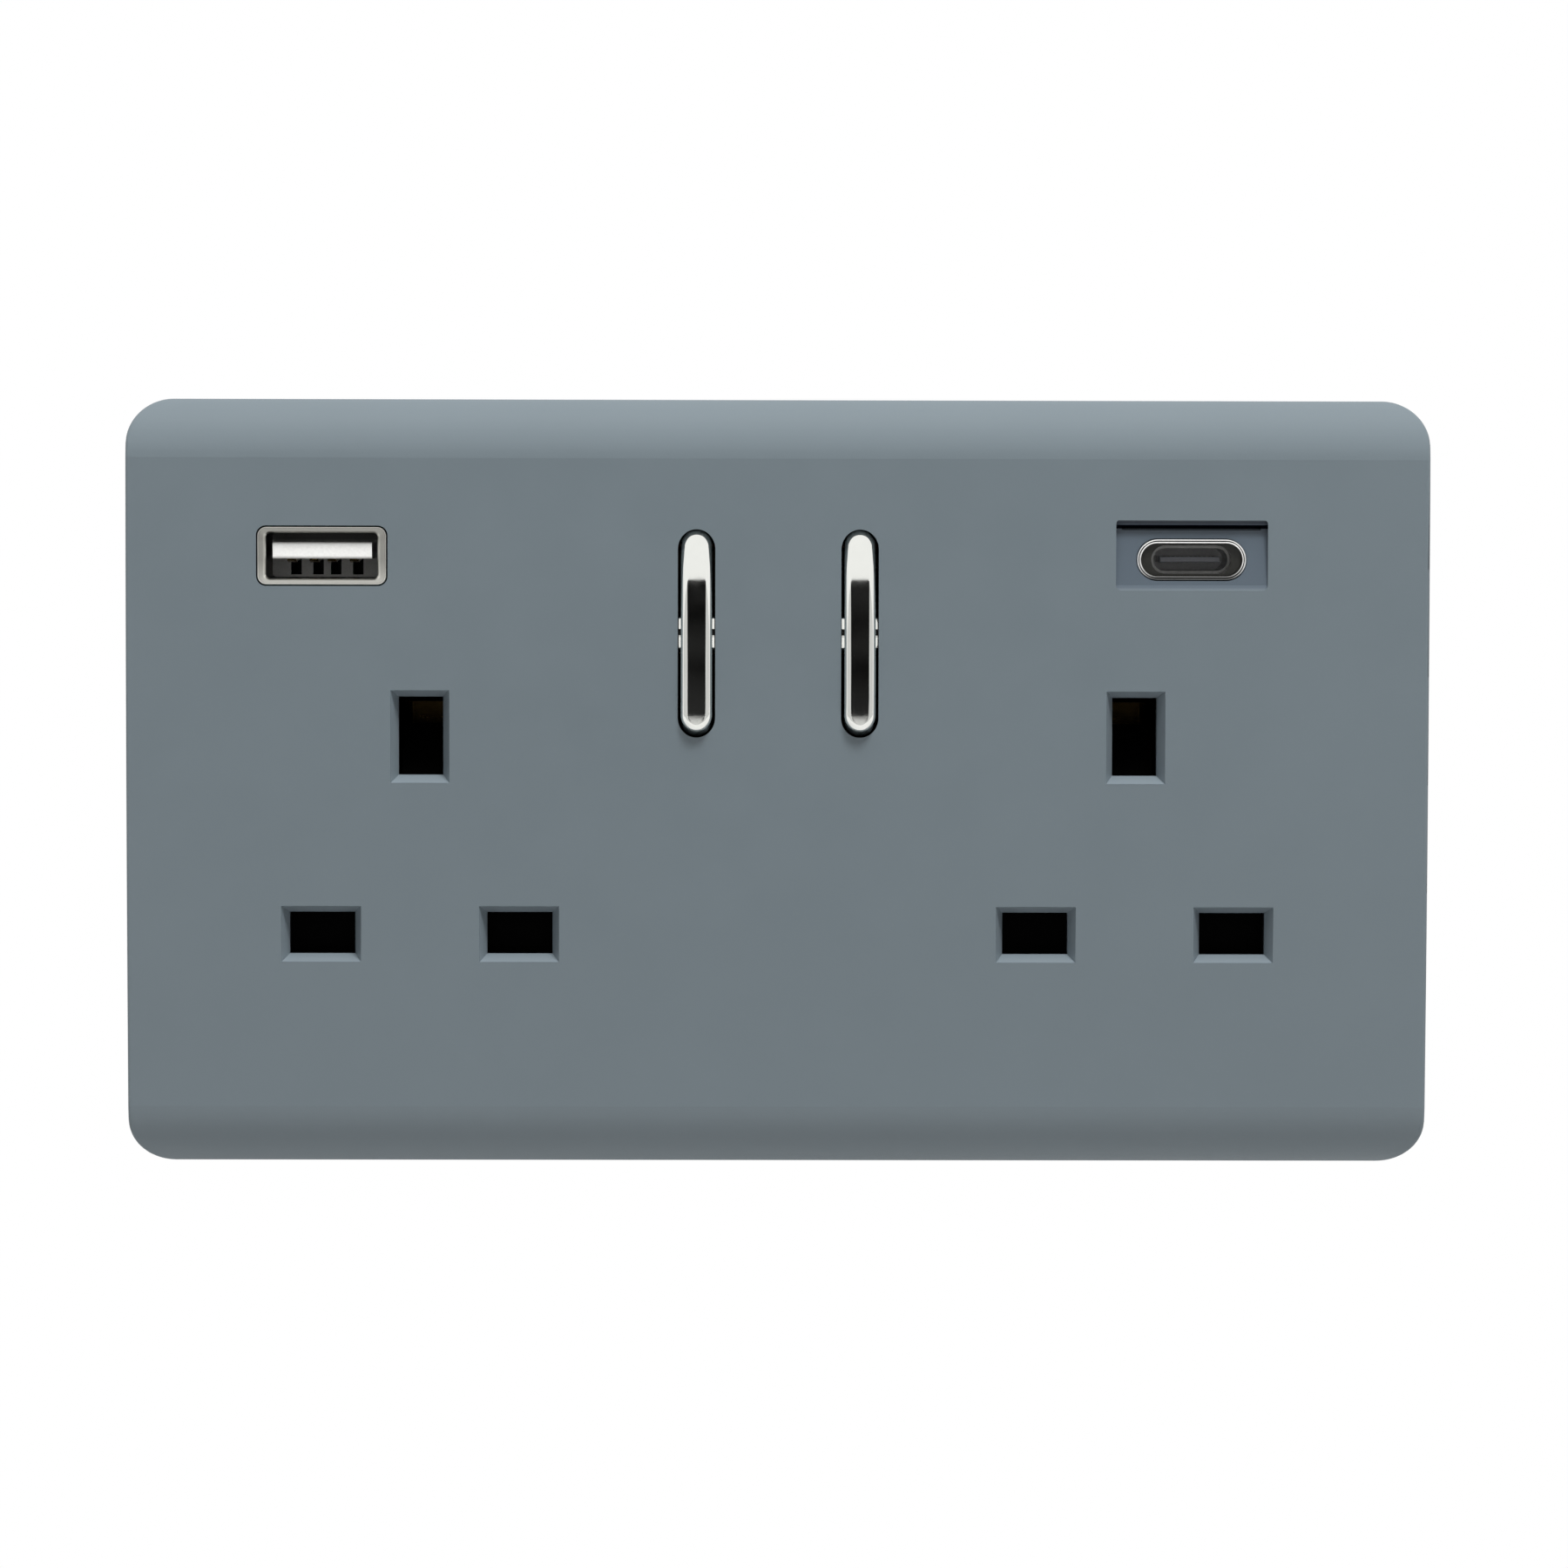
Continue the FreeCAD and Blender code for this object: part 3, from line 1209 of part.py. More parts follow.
def shutter(side):
    x = side * OUTLET_X
    low, high, ramp = shutter_levels()
    inner = PIN_SPREAD - LINE_SLOT[0] / 2 - SHUTTER_LAP
    out, up = ARM_SHOULDER
    plate = through(polygon((
        (x - SHUTTER_HALF, low), (x - inner, low), (x - inner, high), (x + inner, high),
        (x + inner, low), (x + SHUTTER_HALF, low), (x + SHUTTER_HALF, high + ARM_HEIGHT),
        (x + STEM_HALF + out, high + up), (x + STEM_HALF, high + ARM_NECK), (x + STEM_HALF, RAMP_FOOT),
        (x - STEM_HALF, RAMP_FOOT), (x - STEM_HALF, high + ARM_NECK), (x - STEM_HALF - out, high + up),
        (x - SHUTTER_HALF, high + ARM_HEIGHT),
    )), -SHUTTER_FRONT, -SHUTTER_BACK)
    foot = RAMP_FOOT - 3
    ramp_block = side_profile((
        (-SHUTTER_FRONT, foot), (-SHUTTER_FRONT, RAMP_FOOT), (RAMP_REAR - 0.8, ramp),
        (RAMP_REAR, ramp), (RAMP_REAR, ramp - 3), (-SHUTTER_BACK, foot),
    ), x - STEM_HALF, x + STEM_HALF)
    y = spring_y()
    peg = rod(PEG_RADIUS, V(x, y, high + 0.5), V(x, y, high - PEG_LENGTH))
    rear = y + SPRING_RADIUS + SPRING_WIRE / 2
    saddle = box(x - SADDLE_HALF, x + SADDLE_HALF, -SHUTTER_FRONT, rear, high, high + SADDLE_HEIGHT)
    return fuse(plate, ramp_block, peg, saddle)


def shutter_spring(side):
    x = side * OUTLET_X
    low, high, ramp = shutter_levels()
    start = V(x, spring_y(), spring_ledge_top() + 0.05)
    length = high - spring_ledge_top() - 0.1
    return coil(SPRING_RADIUS, SPRING_WIRE, length, SPRING_TURNS, start, V(0, 0, 1))


def ring(outer, inner, y0, y1):
    return through(outer, y0, y1).cut(through(inner, y0 - 1, y1 + 1))


def port_a_front():
    return front_y(PORT_A_Z) - PORT_A_PROUD


def usb_a_sleeve():
    width, height = PORT_A_OPENING
    sheet = 2 * PORT_A_SHEET
    front = port_a_front()
    outer = rectangle(PORT_A_X, PORT_A_Z, width + sheet, height + sheet, 0.8)
    inner = rectangle(PORT_A_X, PORT_A_Z, width, height, 0.5)
    body = ring(outer, inner, front, BOARD_FRONT)
    lip = rectangle(PORT_A_X, PORT_A_Z, *PORT_A_LIP, 1.0)
    band = ring(lip, inner, front, front + PORT_A_LIP_DEPTH)
    front_edges = [e for e in band.Edges if e.BoundBox.YMax < front + 0.01]
    band = band.makeFillet(PORT_A_ROUND, front_edges)
    body = ring(outer, inner, front + 0.4, BOARD_FRONT)
    return fuse(body, band)


def tongue_top():
    return PORT_A_Z + PORT_A_OPENING[1] / 2 - PORT_A_TONGUE_DROP


def usb_a_insulator():
    width, thick = PORT_A_TONGUE
    top = tongue_top()
    x = PORT_A_X
    front = port_a_front() + 0.95
    tongue = box(x - width / 2, x + width / 2, front, 0, top - thick, top)
    nose = [e for e in tongue.Edges if e.BoundBox.YMax < front + 0.01 and e.BoundBox.XLength > 1]
    tongue = tongue.makeFillet(0.3, nose)
    w, h = PORT_A_OPENING[0] - 0.1, PORT_A_OPENING[1] - 0.1
    block = through(rectangle(x, PORT_A_Z, w, h, 0.45), -PORT_A_REAR, BOARD_FRONT)
    wide, high, deep = CONTACT_POCKET
    low = top - thick
    pockets = []
    for offset in CONTACT_OFFSETS:
        a = x + offset - wide / 2
        pockets.append(box(a, a + wide, -PORT_A_REAR - 1, deep - PORT_A_REAR, low - high, low))
    return cut(fuse(tongue, block), *pockets)


def usb_a_contacts():
    pieces = []
    low = tongue_top() - PORT_A_TONGUE[1]
    front = port_a_front() + 1.8
    thin = low - CONTACT_SHEET
    rear = CONTACT_POCKET[2] - PORT_A_REAR - PORT_GAP
    for offset in CONTACT_OFFSETS:
        x = PORT_A_X + offset
        pieces.append(side_profile((
            (front, low), (front + 0.2, thin), (front + 1.8, thin - 0.2),
            (front + 3.2, thin), (rear, thin), (rear, low),
        ), x - CONTACT_WIDTH / 2, x + CONTACT_WIDTH / 2))
    return Part.makeCompound(pieces)


def usb_c_trim():
    outer = stadium(PORT_C_X, PORT_C_Z, *TRIM_OUTSIDE)
    inner = stadium(PORT_C_X, PORT_C_Z, *TRIM_INSIDE)
    body = ring(outer, inner, -TRIM_FRONT, -COVER_INSIDE + TRIM_FLANGE)
    front_edges = [e for e in body.Edges if e.BoundBox.YMax < -TRIM_FRONT + 0.01]
    body = body.makeFillet(0.22, front_edges)
    flange = stadium(PORT_C_X, PORT_C_Z, *[size + 2 * TRIM_RIM for size in TRIM_OUTSIDE])
    inner = stadium(PORT_C_X, PORT_C_Z, *TRIM_INSIDE)
    return fuse(body, ring(flange, inner, -COVER_INSIDE, -COVER_INSIDE + TRIM_FLANGE))


def usb_c_outside():
    sheet = 2 * PORT_C_SHEET
    return PORT_C_MOUTH[0] + sheet, PORT_C_MOUTH[1] + sheet


def usb_c_insert():
    """The dark funnel between the trim ring and the metal mouth."""
    front = -TRIM_FRONT + 0.7
    back = -COVER_INSIDE + TRIM_FLANGE
    outer = stadium(PORT_C_X, PORT_C_Z, TRIM_INSIDE[0] - 0.04, TRIM_INSIDE[1] - 0.04)
    body = through(outer, front, back)
    width, height = usb_c_outside()
    hole = through(stadium(PORT_C_X, PORT_C_Z, width + 0.06, height + 0.06), front - 1, back + 1)
    body = cut(body, hole)
    return body


def usb_c_sleeve():
    outer = stadium(PORT_C_X, PORT_C_Z, *usb_c_outside())
    inner = stadium(PORT_C_X, PORT_C_Z, *PORT_C_MOUTH)
    return ring(outer, inner, -PORT_C_FRONT, BOARD_FRONT)


def usb_c_tongue():
    width, thick = PORT_C_TONGUE
    x, z = PORT_C_X, PORT_C_Z
    body = box(x - width / 2, x + width / 2, -PORT_C_FRONT + 0.9, 0.5, z - thick / 2, z + thick / 2)
    nose = [e for e in body.Edges if e.BoundBox.YMax < -PORT_C_FRONT + 0.91 and e.BoundBox.XLength > 1]
    body = body.makeFillet(0.2, nose)
    block = through(stadium(x, z, PORT_C_MOUTH[0] - 0.04, PORT_C_MOUTH[1] - 0.04), 0, BOARD_FRONT)
    return fuse(body, block)


def usb_board():
    edge = HOUSING_WALL + BOARD_GAP
    half = HOUSING_HALF[0] - edge
    top = BOARD_TOP
    points = (
        (-half, BOARD_BOTTOM), (-BOARD_CUT_HALF, BOARD_BOTTOM), (-BOARD_CUT_HALF, BOARD_BRIDGE),
        (BOARD_CUT_HALF, BOARD_BRIDGE), (BOARD_CUT_HALF, BOARD_BOTTOM), (half, BOARD_BOTTOM),
        (half, top), (-half, top),
    )
    body = through(rounded(points, 1.0), BOARD_FRONT, BOARD_FRONT + BOARD_THICK)
    holes = []
    for x, z in SCREW_PLACES:
        if z > BOARD_BOTTOM:
            holes.append(rod(POST_RADIUS + 0.2, V(x, 0, z), V(x, BOARD_FRONT + 5, z)))
    return cut(body, *holes)


def transformer_core():
    """A ferrite block with an outer limb at each side and one inside the winding."""
    x, z = TRANSFORMER_AT
    width, depth, height = TRANSFORMER_SIZE
    y = BOARD_BACK + TRANSFORMER_LIFT
    plan = rectangle(x, z, width, height)
    hole = rectangle(x, z, width - 2 * TRANSFORMER_LIMB, height - 2 * TRANSFORMER_YOKE)
    half = TRANSFORMER_CORE / 2
    limb = box(x - half, x + half, y, y + depth, z - height / 2, z + height / 2)
    return fuse(cut(through(plan, y, y + depth), through(hole, y - 1, y + depth + 1)), limb)


def transformer_winding():
    """Coil former and winding, which stand on the board and carry the core."""
    x, z = TRANSFORMER_AT
    width, depth, height = TRANSFORMER_SIZE
    y = BOARD_BACK + TRANSFORMER_LIFT
    wide = width - 2 * TRANSFORMER_LIMB - 2 * WINDING_GAP
    high = height - 2 * TRANSFORMER_YOKE - 2 * WINDING_GAP
    body = through(rectangle(x, z, wide, high, 0.8), BOARD_BACK, y + depth + TRANSFORMER_LIFT)
    slot = TRANSFORMER_CORE / 2 + WINDING_GAP / 2
    return cut(body, box(x - slot, x + slot, y, y + depth, z - height, z + height))


def standing_can(x, z, radius, height):
    y = BOARD_BACK
    body = rod(radius, V(x, y, z), V(x, y + height, z))
    body = body.makeFillet(0.5, [e for e in body.Edges if e.BoundBox.YMin > y + height - 0.01])
    score = box(x - radius, x + radius, y + height - 0.2, y + height + 1, z - 0.15, z + 0.15)
    return cut(body, score)


def capacitors():
    return Part.makeCompound([standing_can(*place) for place in CAPACITORS])


def filter_coil():
    x, z = COIL_AT
    y = BOARD_BACK
    core, height = COIL_CORE
    flange, thick = COIL_FLANGE
    base = rod(flange, V(x, y, z), V(x, y + thick, z))
    middle = rod(core, V(x, y, z), V(x, y + height, z))
    top = rod(flange, V(x, y + height - thick, z), V(x, y + height, z))
    return fuse(base, middle, top)


def coil_wire():
    x, z = COIL_AT
    core, height = COIL_CORE
    start = BOARD_BACK + COIL_FLANGE[1] + SCREW_GAP
    end = BOARD_BACK + height - COIL_FLANGE[1] - SCREW_GAP
    outer = rod(COIL_WOUND, V(x, start, z), V(x, end, z))
    return outer.cut(rod(core + SCREW_GAP, V(x, start - 1, z), V(x, end + 1, z)))


def control_chips():
    chips = []
    for x in CHIP_X:
        plan = rectangle(x, BOARD_TOP - CHIP_DROP, *CHIP_SIZE)
        chips.append(through(plan, BOARD_BACK, BOARD_BACK + CHIP_HEIGHT))
    return Part.makeCompound(chips)


def main():
    os.makedirs("parts", exist_ok=True)
    save("front_cover", front_cover())
    save("mounting_frame", mounting_frame())
    save("front_moulding", front_moulding())
    save("rear_housing", rear_housing())
    for name, side in SIDES.items():
        save("rocker_bar_" + name, rocker_bar(side))
        save("rocker_carrier_" + name, rocker_carrier(side))
        save("plunger_" + name, plunger(side))
        save("plunger_spring_" + name, plunger_spring(side))
        save("seesaw_contact_" + name, seesaw_contact(side))
        save("moving_tip_" + name, moving_tip(side))
        save("shutter_" + name, shutter(side))
        save("shutter_spring_" + name, shutter_spring(side))
    save("fixed_tips", fixed_tips())
    save("neutral_bar", neutral_bar())
    save("live_bar", live_bar())
    save("live_contact_left", live_contact_left())
    save("live_contact_right", live_contact_right())
    save("earth_bar", earth_bar())
    names = ("terminal_earth_left", "terminal_neutral", "terminal_live", "terminal_earth_right")
    for name, x in zip(names, TERMINAL_X):
        save(name, terminal(x))
    save("terminal_screws", terminal_screws())
    save("housing_screws", housing_screws())
    save("usb_board", usb_board())
    save("usb_a_sleeve", usb_a_sleeve())
    save("usb_a_insulator", usb_a_insulator())
    save("usb_a_contacts", usb_a_contacts())
    save("usb_c_trim", usb_c_trim())
    save("usb_c_insert", usb_c_insert())
    save("usb_c_sleeve", usb_c_sleeve())
    save("usb_c_tongue", usb_c_tongue())
    save("transformer_core", transformer_core())
    save("transformer_winding", transformer_winding())
    save("capacitors", capacitors())
    save("filter_coil", filter_coil())
    save("coil_wire", coil_wire())
    save("control_chips", control_chips())


main()
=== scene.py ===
import math

import bpy
from bpy.props import FloatProperty, FloatVectorProperty, IntProperty, PointerProperty
from mathutils import Matrix, Vector


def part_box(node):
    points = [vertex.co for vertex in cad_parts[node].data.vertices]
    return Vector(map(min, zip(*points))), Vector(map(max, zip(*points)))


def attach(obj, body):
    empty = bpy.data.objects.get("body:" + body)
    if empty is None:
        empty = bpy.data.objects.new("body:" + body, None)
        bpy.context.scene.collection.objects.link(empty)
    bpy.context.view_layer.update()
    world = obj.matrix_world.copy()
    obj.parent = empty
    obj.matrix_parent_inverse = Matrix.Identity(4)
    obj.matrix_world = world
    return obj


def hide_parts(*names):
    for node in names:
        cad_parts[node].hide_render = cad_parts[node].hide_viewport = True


bl_info = {
    "name": "Twin wall socket with charging ports",
    "version": (1, 0, 0),
    "blender": (4, 5, 0),
    "location": "3D View > Sidebar > Wall socket",
    "description": "Finishes, small fasteners and studio for the twin wall socket",
    "category": "Object",
}

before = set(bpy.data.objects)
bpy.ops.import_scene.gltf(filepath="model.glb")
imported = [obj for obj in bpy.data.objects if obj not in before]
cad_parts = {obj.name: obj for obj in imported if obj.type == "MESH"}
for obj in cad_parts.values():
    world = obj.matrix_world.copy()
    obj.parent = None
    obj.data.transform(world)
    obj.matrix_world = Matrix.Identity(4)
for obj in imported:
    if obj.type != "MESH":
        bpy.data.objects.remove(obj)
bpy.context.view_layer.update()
MM = 0.001

COPPER_BARS = (
    "live_bar", "live_contact_left", "live_contact_right", "seesaw_contact_left", "seesaw_contact_right",
)
BRASS_BARS = ("neutral_bar", "earth_bar")
TERMINALS = ("terminal_earth_left", "terminal_neutral", "terminal_live", "terminal_earth_right")
# Share of a contact bar's depth, from its front, where the painted shade over its front part gives way to
# the bright metal.
BRIGHT_SHARE = 0.72

# The flat field of the plate, from its middle, inside the rolled edges.
FIELD_HALF_X = 68.0 * MM
FIELD_HALF_Z = 34.5 * MM
# The scoop round the small port, painted darker as shade, with the wall and the slit at its top painted as
# deeper shade and a shadow line.
SCOOP_HALF_X = 8.7 * MM
SCOOP_HALF_Z = 4.2 * MM
SCOOP_Z = 25.75 * MM
LEDGE_HEIGHT = 0.8 * MM
SLIT_HALF = 0.26 * MM

# The housing's screws: round heads with a cross recess.
HEAD_RADIUS = 2.8 * MM
HEAD_HEIGHT = 2.0 * MM
SHANK_RADIUS = 1.3 * MM
UPPER_SCREW_X = 36.5 * MM
RECESS = {"Recess Width": 0.7 * MM, "Recess Reach": 3.4 * MM, "Recess Depth": 1.1 * MM}
CLAMP_SLOT_DEPTH = 1.0 * MM

# The white block behind the wide port's tongue, whose front sets where it is painted near black as shade,
# and the pads of the small one.
BLOCK_FRONT = -0.7 * MM
PAD_WIDTH = 0.26 * MM
PAD_LENGTH = 2.2 * MM
PAD_HEIGHT = 0.74 * MM
PAD_SETBACK = 0.6 * MM
COIL_WIRE_RADIUS = 0.2 * MM

# The studio, in metres.
PLATE_MIDDLE = Vector((0.0, -0.0045, 0.0))
GROUND_HALF = 3.0
GROUND_FADE = (0.38, 0.62)
CARD_TOP = 0.306
ROOM_CARD_FOOT = -0.6
FRONT_CARD_Y = -0.72
ROOM_CARD_Y = -0.74
FRONT_CARD = (
    (-0.24, CARD_TOP), (-0.18, 0.05), (-0.18, -0.06), (-0.14, -0.11),
    (0.15, -0.11), (0.19, -0.06), (0.19, 0.05), (0.25, CARD_TOP),
)


def linear(red, green, blue):
    """A screen colour from 0 to 255 as the linear colour that shaders take."""
    out = []
    for value in (red, green, blue):
        share = value / 255
        out.append(share / 12.92 if share <= 0.04045 else ((share + 0.055) / 1.055) ** 2.4)
    return tuple(out)


def colour_property(name, description, colour):
    return FloatVectorProperty(
        name=name, description=description, default=linear(*colour), subtype="COLOR", size=3, min=0, max=1
    )


def length_property(name, description, millimetres):
    return FloatProperty(
        name=name, description=description, default=millimetres * MM, unit="LENGTH", precision=5
    )


def angle_property(name, description, degrees):
    return FloatProperty(name=name, description=description, default=math.radians(degrees), subtype="ANGLE")


def number_property(name, description, value):
    return FloatProperty(name=name, description=description, default=value)


class PlateSettings(bpy.types.PropertyGroup):
    colour: colour_property("Plate colour", "Colour of the moulded plate", (108, 119, 125))
    # Painted shade in the scoop round the small port.
    scoop: colour_property("Scoop colour", "Colour of the scoop round the small port", (83, 94, 104))
    # Painted shade on the scoop's upper wall.
    ledge: colour_property("Ledge colour", "Colour of the scoop's upper wall", (42, 49, 60))
    # Painted light on the cut-in edges of the apertures.
    cut: colour_property("Edge colour", "Colour of the cut-in edges of the apertures", (126, 137, 144))
    slot_black: colour_property("Shutters", "Colour of the shutters in the apertures", (2, 2, 2))
    grain_size: length_property("Grain size", "Spacing of the fine spark-eroded grain", 0.28)
    grain_height: length_property("Grain height", "Height of the grain", 0.0035)
    smooth: number_property("Smooth places", "Lowest roughness of the plate", 0.34)
    dull: number_property("Dull places", "Highest roughness of the plate", 0.42)


class RockerSettings(bpy.types.PropertyGroup):
    chrome: colour_property("Chrome", "Tint of the plated bars", (237, 238, 233))
    ripple: length_property("Ripple", "Height of the slow waves in the plating", 0.0012)
    body_black: colour_property("Carrier", "Plastic of the carriers", (26, 27, 29))


class PortSettings(bpy.types.PropertyGroup):
    nickel: colour_property("Nickel", "Plated sheet of the wide sleeve", (204, 203, 196))
    white: colour_property("White plastic", "Tongue of the wide port", (252, 252, 249))
    dark: colour_property("Dark plastic", "Insert round the small port", (38, 38, 35))
    tongue: colour_property("Small tongue", "Tongue of the small port", (118, 120, 126))
    pad_count: IntProperty(
        name="Pads a side", description="Contact pads on each side of the small tongue", default=12, min=2
    )
    pad_pitch: length_property("Pad pitch", "Spacing of the pads", 0.5)
    lip_slope: number_property("Lip slope", "How steeply the wide port's lip rolls in", 0.5)
    # Reach of the painted shade behind the wide port's front edge, and of the painted light in the small
    # port's sleeve.
    lip_depth: length_property("Lip", "How far behind its front edge a port turns dark", 0.7)


class FastenerSettings(bpy.types.PropertyGroup):
    thread_pitch: length_property("Thread pitch", "Rise of the thread in one turn", 1.27)
    thread_height: length_property("Thread height", "How far the thread stands off the core", 0.22)
    clamp_pitch: length_property("Clamp thread pitch", "Rise of the clamp screws' thread", 0.7)
    slot_width: length_property("Slot width", "Width of the clamp screws' slot", 0.7)


class StageSettings(bpy.types.PropertyGroup):
    camera_distance: length_property("Camera distance", "From the plate to the lens", 600.0)
    camera_rise: angle_property("Camera rise", "Angle at which the camera looks down", 3.2)
    camera_side: angle_property("Camera side", "How far the camera stands to the left", 0.5)
    camera_roll: angle_property("Camera roll", "Tilt of the camera about its own axis", 0.13)
    lens: number_property("Lens", "Focal length in millimetres", 122.0)
    shift_x: number_property("Shift across", "Lens shift across the picture", 0.0041)
    shift_y: number_property("Shift up", "Lens shift up the picture", -0.0014)
    floor_drop: length_property("Floor", "How far the floor lies below the plate's middle", 250.0)
    floor_white: number_property("Floor white", "Whiteness of the floor as seen", 0.8)
    floor_bounce: number_property("Floor bounce", "How much light the floor returns", 0.64)
    ambient: number_property("Room light", "Even light from all sides", 0.36)
    overhead: number_property("Overhead light", "Power of the softbox above", 3.6)
    key: number_property("Front light", "Power of the softbox in front and above", 11.9)


def place(tree, kind, **values):
    """Adds a node and sets its properties."""
    node = tree.nodes.new(kind)
    for key, value in values.items():
        setattr(node, key, value)
    return node


def feed(tree, socket, source):
    """Links a socket to an output, or gives it a plain value."""
    if isinstance(source, bpy.types.NodeSocket):
        tree.links.new(source, socket)
    else:
        socket.default_value = source


def feed_all(tree, node, values):
    for key, source in values.items():
        feed(tree, node.inputs[key], source)


def arithmetic(tree, operation, *values):
    node = place(tree, "ShaderNodeMath", operation=operation)
    for socket, source in zip(node.inputs, values):
        feed(tree, socket, source)
    return node.outputs[0]


def plus(tree, first, second):
    return arithmetic(tree, "ADD", first, second)


def minus(tree, first, second):
    return arithmetic(tree, "SUBTRACT", first, second)


def times(tree, first, second):
    return arithmetic(tree, "MULTIPLY", first, second)


def over(tree, first, second):
    return arithmetic(tree, "DIVIDE", first, second)


def size_of(tree, value):
    return arithmetic(tree, "ABSOLUTE", value)


def combined(tree, x=0.0, y=0.0, z=0.0):
    node = place(tree, "ShaderNodeCombineXYZ")
    feed_all(tree, node, {"X": x, "Y": y, "Z": z})
    return node.outputs[0]


def separated(tree, vector):
    """The X, Y and Z outputs of a vector."""
    node = place(tree, "ShaderNodeSeparateXYZ")
    feed(tree, node.inputs[0], vector)
    return node.outputs


def grey(tree, shade):
    node = place(tree, "ShaderNodeCombineColor")
    for socket in node.inputs:
        feed(tree, socket, shade)
    return node.outputs[0]


def spread(tree, value, low, high, start=0.3, end=0.7):
    """Stretches a noise value to a range."""
    node = place(tree, "ShaderNodeMapRange")
    feed_all(tree, node, {
        "Value": value, "From Min": start, "From Max": end, "To Min": low, "To Max": high,
    })
    return node.outputs["Result"]


def around_one(tree, value, contrast, start=0.3, end=0.7):
    """Stretches a noise value to as much below 1 as above it."""
    low = minus(tree, 1.0, contrast)
    return spread(tree, value, low, plus(tree, 1.0, contrast), start, end)


def inside(tree, value, middle, half, soft):
    """1 where a value is within a half-width of its middle, fading over a soft edge."""
    off = size_of(tree, minus(tree, value, middle))
    return spread(tree, off, 1.0, 0.0, minus(tree, half, soft), half)


def here(tree):
    """The point that is shaded, in the piece's own space."""
    return place(tree, "ShaderNodeTexCoord").outputs["Object"]


def noise(tree, at, scale, detail=2.0, rough=0.5):
    node = place(tree, "ShaderNodeTexNoise", normalize=True)
    feed_all(tree, node, {"Vector": at, "Scale": scale, "Detail": detail, "Roughness": rough})
    return node.outputs["Fac"]


def sized_noise(tree, at, size, detail=2.0, rough=0.5, finer=1.0):
    """Noise whose scale comes from the size of its patches."""
    return noise(tree, at, over(tree, finer, size), detail, rough)


def cells(tree, at, size, **kind):
    node = place(tree, "ShaderNodeTexVoronoi", **kind)
    feed_all(tree, node, {"Vector": at, "Scale": over(tree, 1.0, size)})
    return node.outputs


def relief(tree, height, distance, normal=None):
    """A bump of a real height in metres."""
    node = place(tree, "ShaderNodeBump")
    feed_all(tree, node, {"Height": height, "Distance": distance})
    if normal is not None:
        feed(tree, node.inputs["Normal"], normal)
    return node.outputs["Normal"]


def tinted(tree, colour, value):
    node = place(tree, "ShaderNodeHueSaturation")
    feed_all(tree, node, {"Color": colour, "Value": value})
    return node.outputs["Color"]


def blended(tree, share, first, second):
    node = place(tree, "ShaderNodeMix", data_type="RGBA")
    for index, source in ((0, share), (6, first), (7, second)):
        feed(tree, node.inputs[index], source)
    return node.outputs[2]


def socket_kind(value):
    if not isinstance(value, tuple):
        return "NodeSocketFloat"
    return "NodeSocketColor" if len(value) == 4 else "NodeSocketVector"


SURFACE = {"Color": "NodeSocketColor", "Roughness": "NodeSocketFloat", "Normal": "NodeSocketVector"}
SPECULAR = "Specular IOR Level"


def effect(name, inputs, **more_outputs):
    """An empty shader group with named sockets, and its inputs and outputs as seen from within."""
    tree = bpy.data.node_groups.new(name, "ShaderNodeTree")
    for label, value in inputs.items():
        socket = tree.interface.new_socket(label, in_out="INPUT", socket_type=socket_kind(value))
        socket.default_value = value
    for label, kind in {**SURFACE, **more_outputs}.items():
        tree.interface.new_socket(label, in_out="OUTPUT", socket_type=kind)
    return tree, place(tree, "NodeGroupInput").outputs, place(tree, "NodeGroupOutput").inputs


def surface(tree, out, colour, rough, normal):
    for label, source in zip(SURFACE, (colour, rough, normal)):
        feed(tree, out[label], source)
    return tree


GRAIN = {"Grain Size": 0.0003, "Grain Height": 0.000004, "Smooth": 0.3, "Dull": 0.45}


def moulded_skin():
    """Injection-moulded plastic: fine grain, slow mottle and slightly uneven gloss."""
    tree, given, out = effect("Moulded skin", {
        "Colour": (0.2, 0.2, 0.2, 1), "Mottle": 0.03, "Mottle Size": 0.012, **GRAIN,
    })
    at = here(tree)
    slow = sized_noise(tree, at, given["Mottle Size"], 3.0)
    cloud = sized_noise(tree, at, given["Mottle Size"], 4.0, finer=3.1)
    grain = sized_noise(tree, at, given["Grain Size"])
    return surface(
        tree, out, tinted(tree, given["Colour"], around_one(tree, slow, given["Mottle"])),
        spread(tree, cloud, given["Smooth"], given["Dull"]), relief(tree, grain, given["Grain Height"]),
    )


def plated_skin():
    """Bright plating: slow ripples in the surface and faint smudges in the gloss."""
    tree, given, out = effect("Plated skin", {
        "Colour": (0.9, 0.9, 0.9, 1), "Ripple Size": 0.004, "Ripple Height": 0.000001, "Smooth": 0.03,
        "Dull": 0.1,
    })
    at = here(tree)
    slow = sized_noise(tree, at, given["Ripple Size"], 1.0)
    smudge = sized_noise(tree, at, given["Ripple Size"], 5.0, 0.6, 2.3)
    return surface(
        tree, out, tinted(tree, given["Colour"], spread(tree, smudge, 0.97, 1.0)),
        spread(tree, smudge, given["Smooth"], given["Dull"]), relief(tree, slow, given["Ripple Height"]),
    )


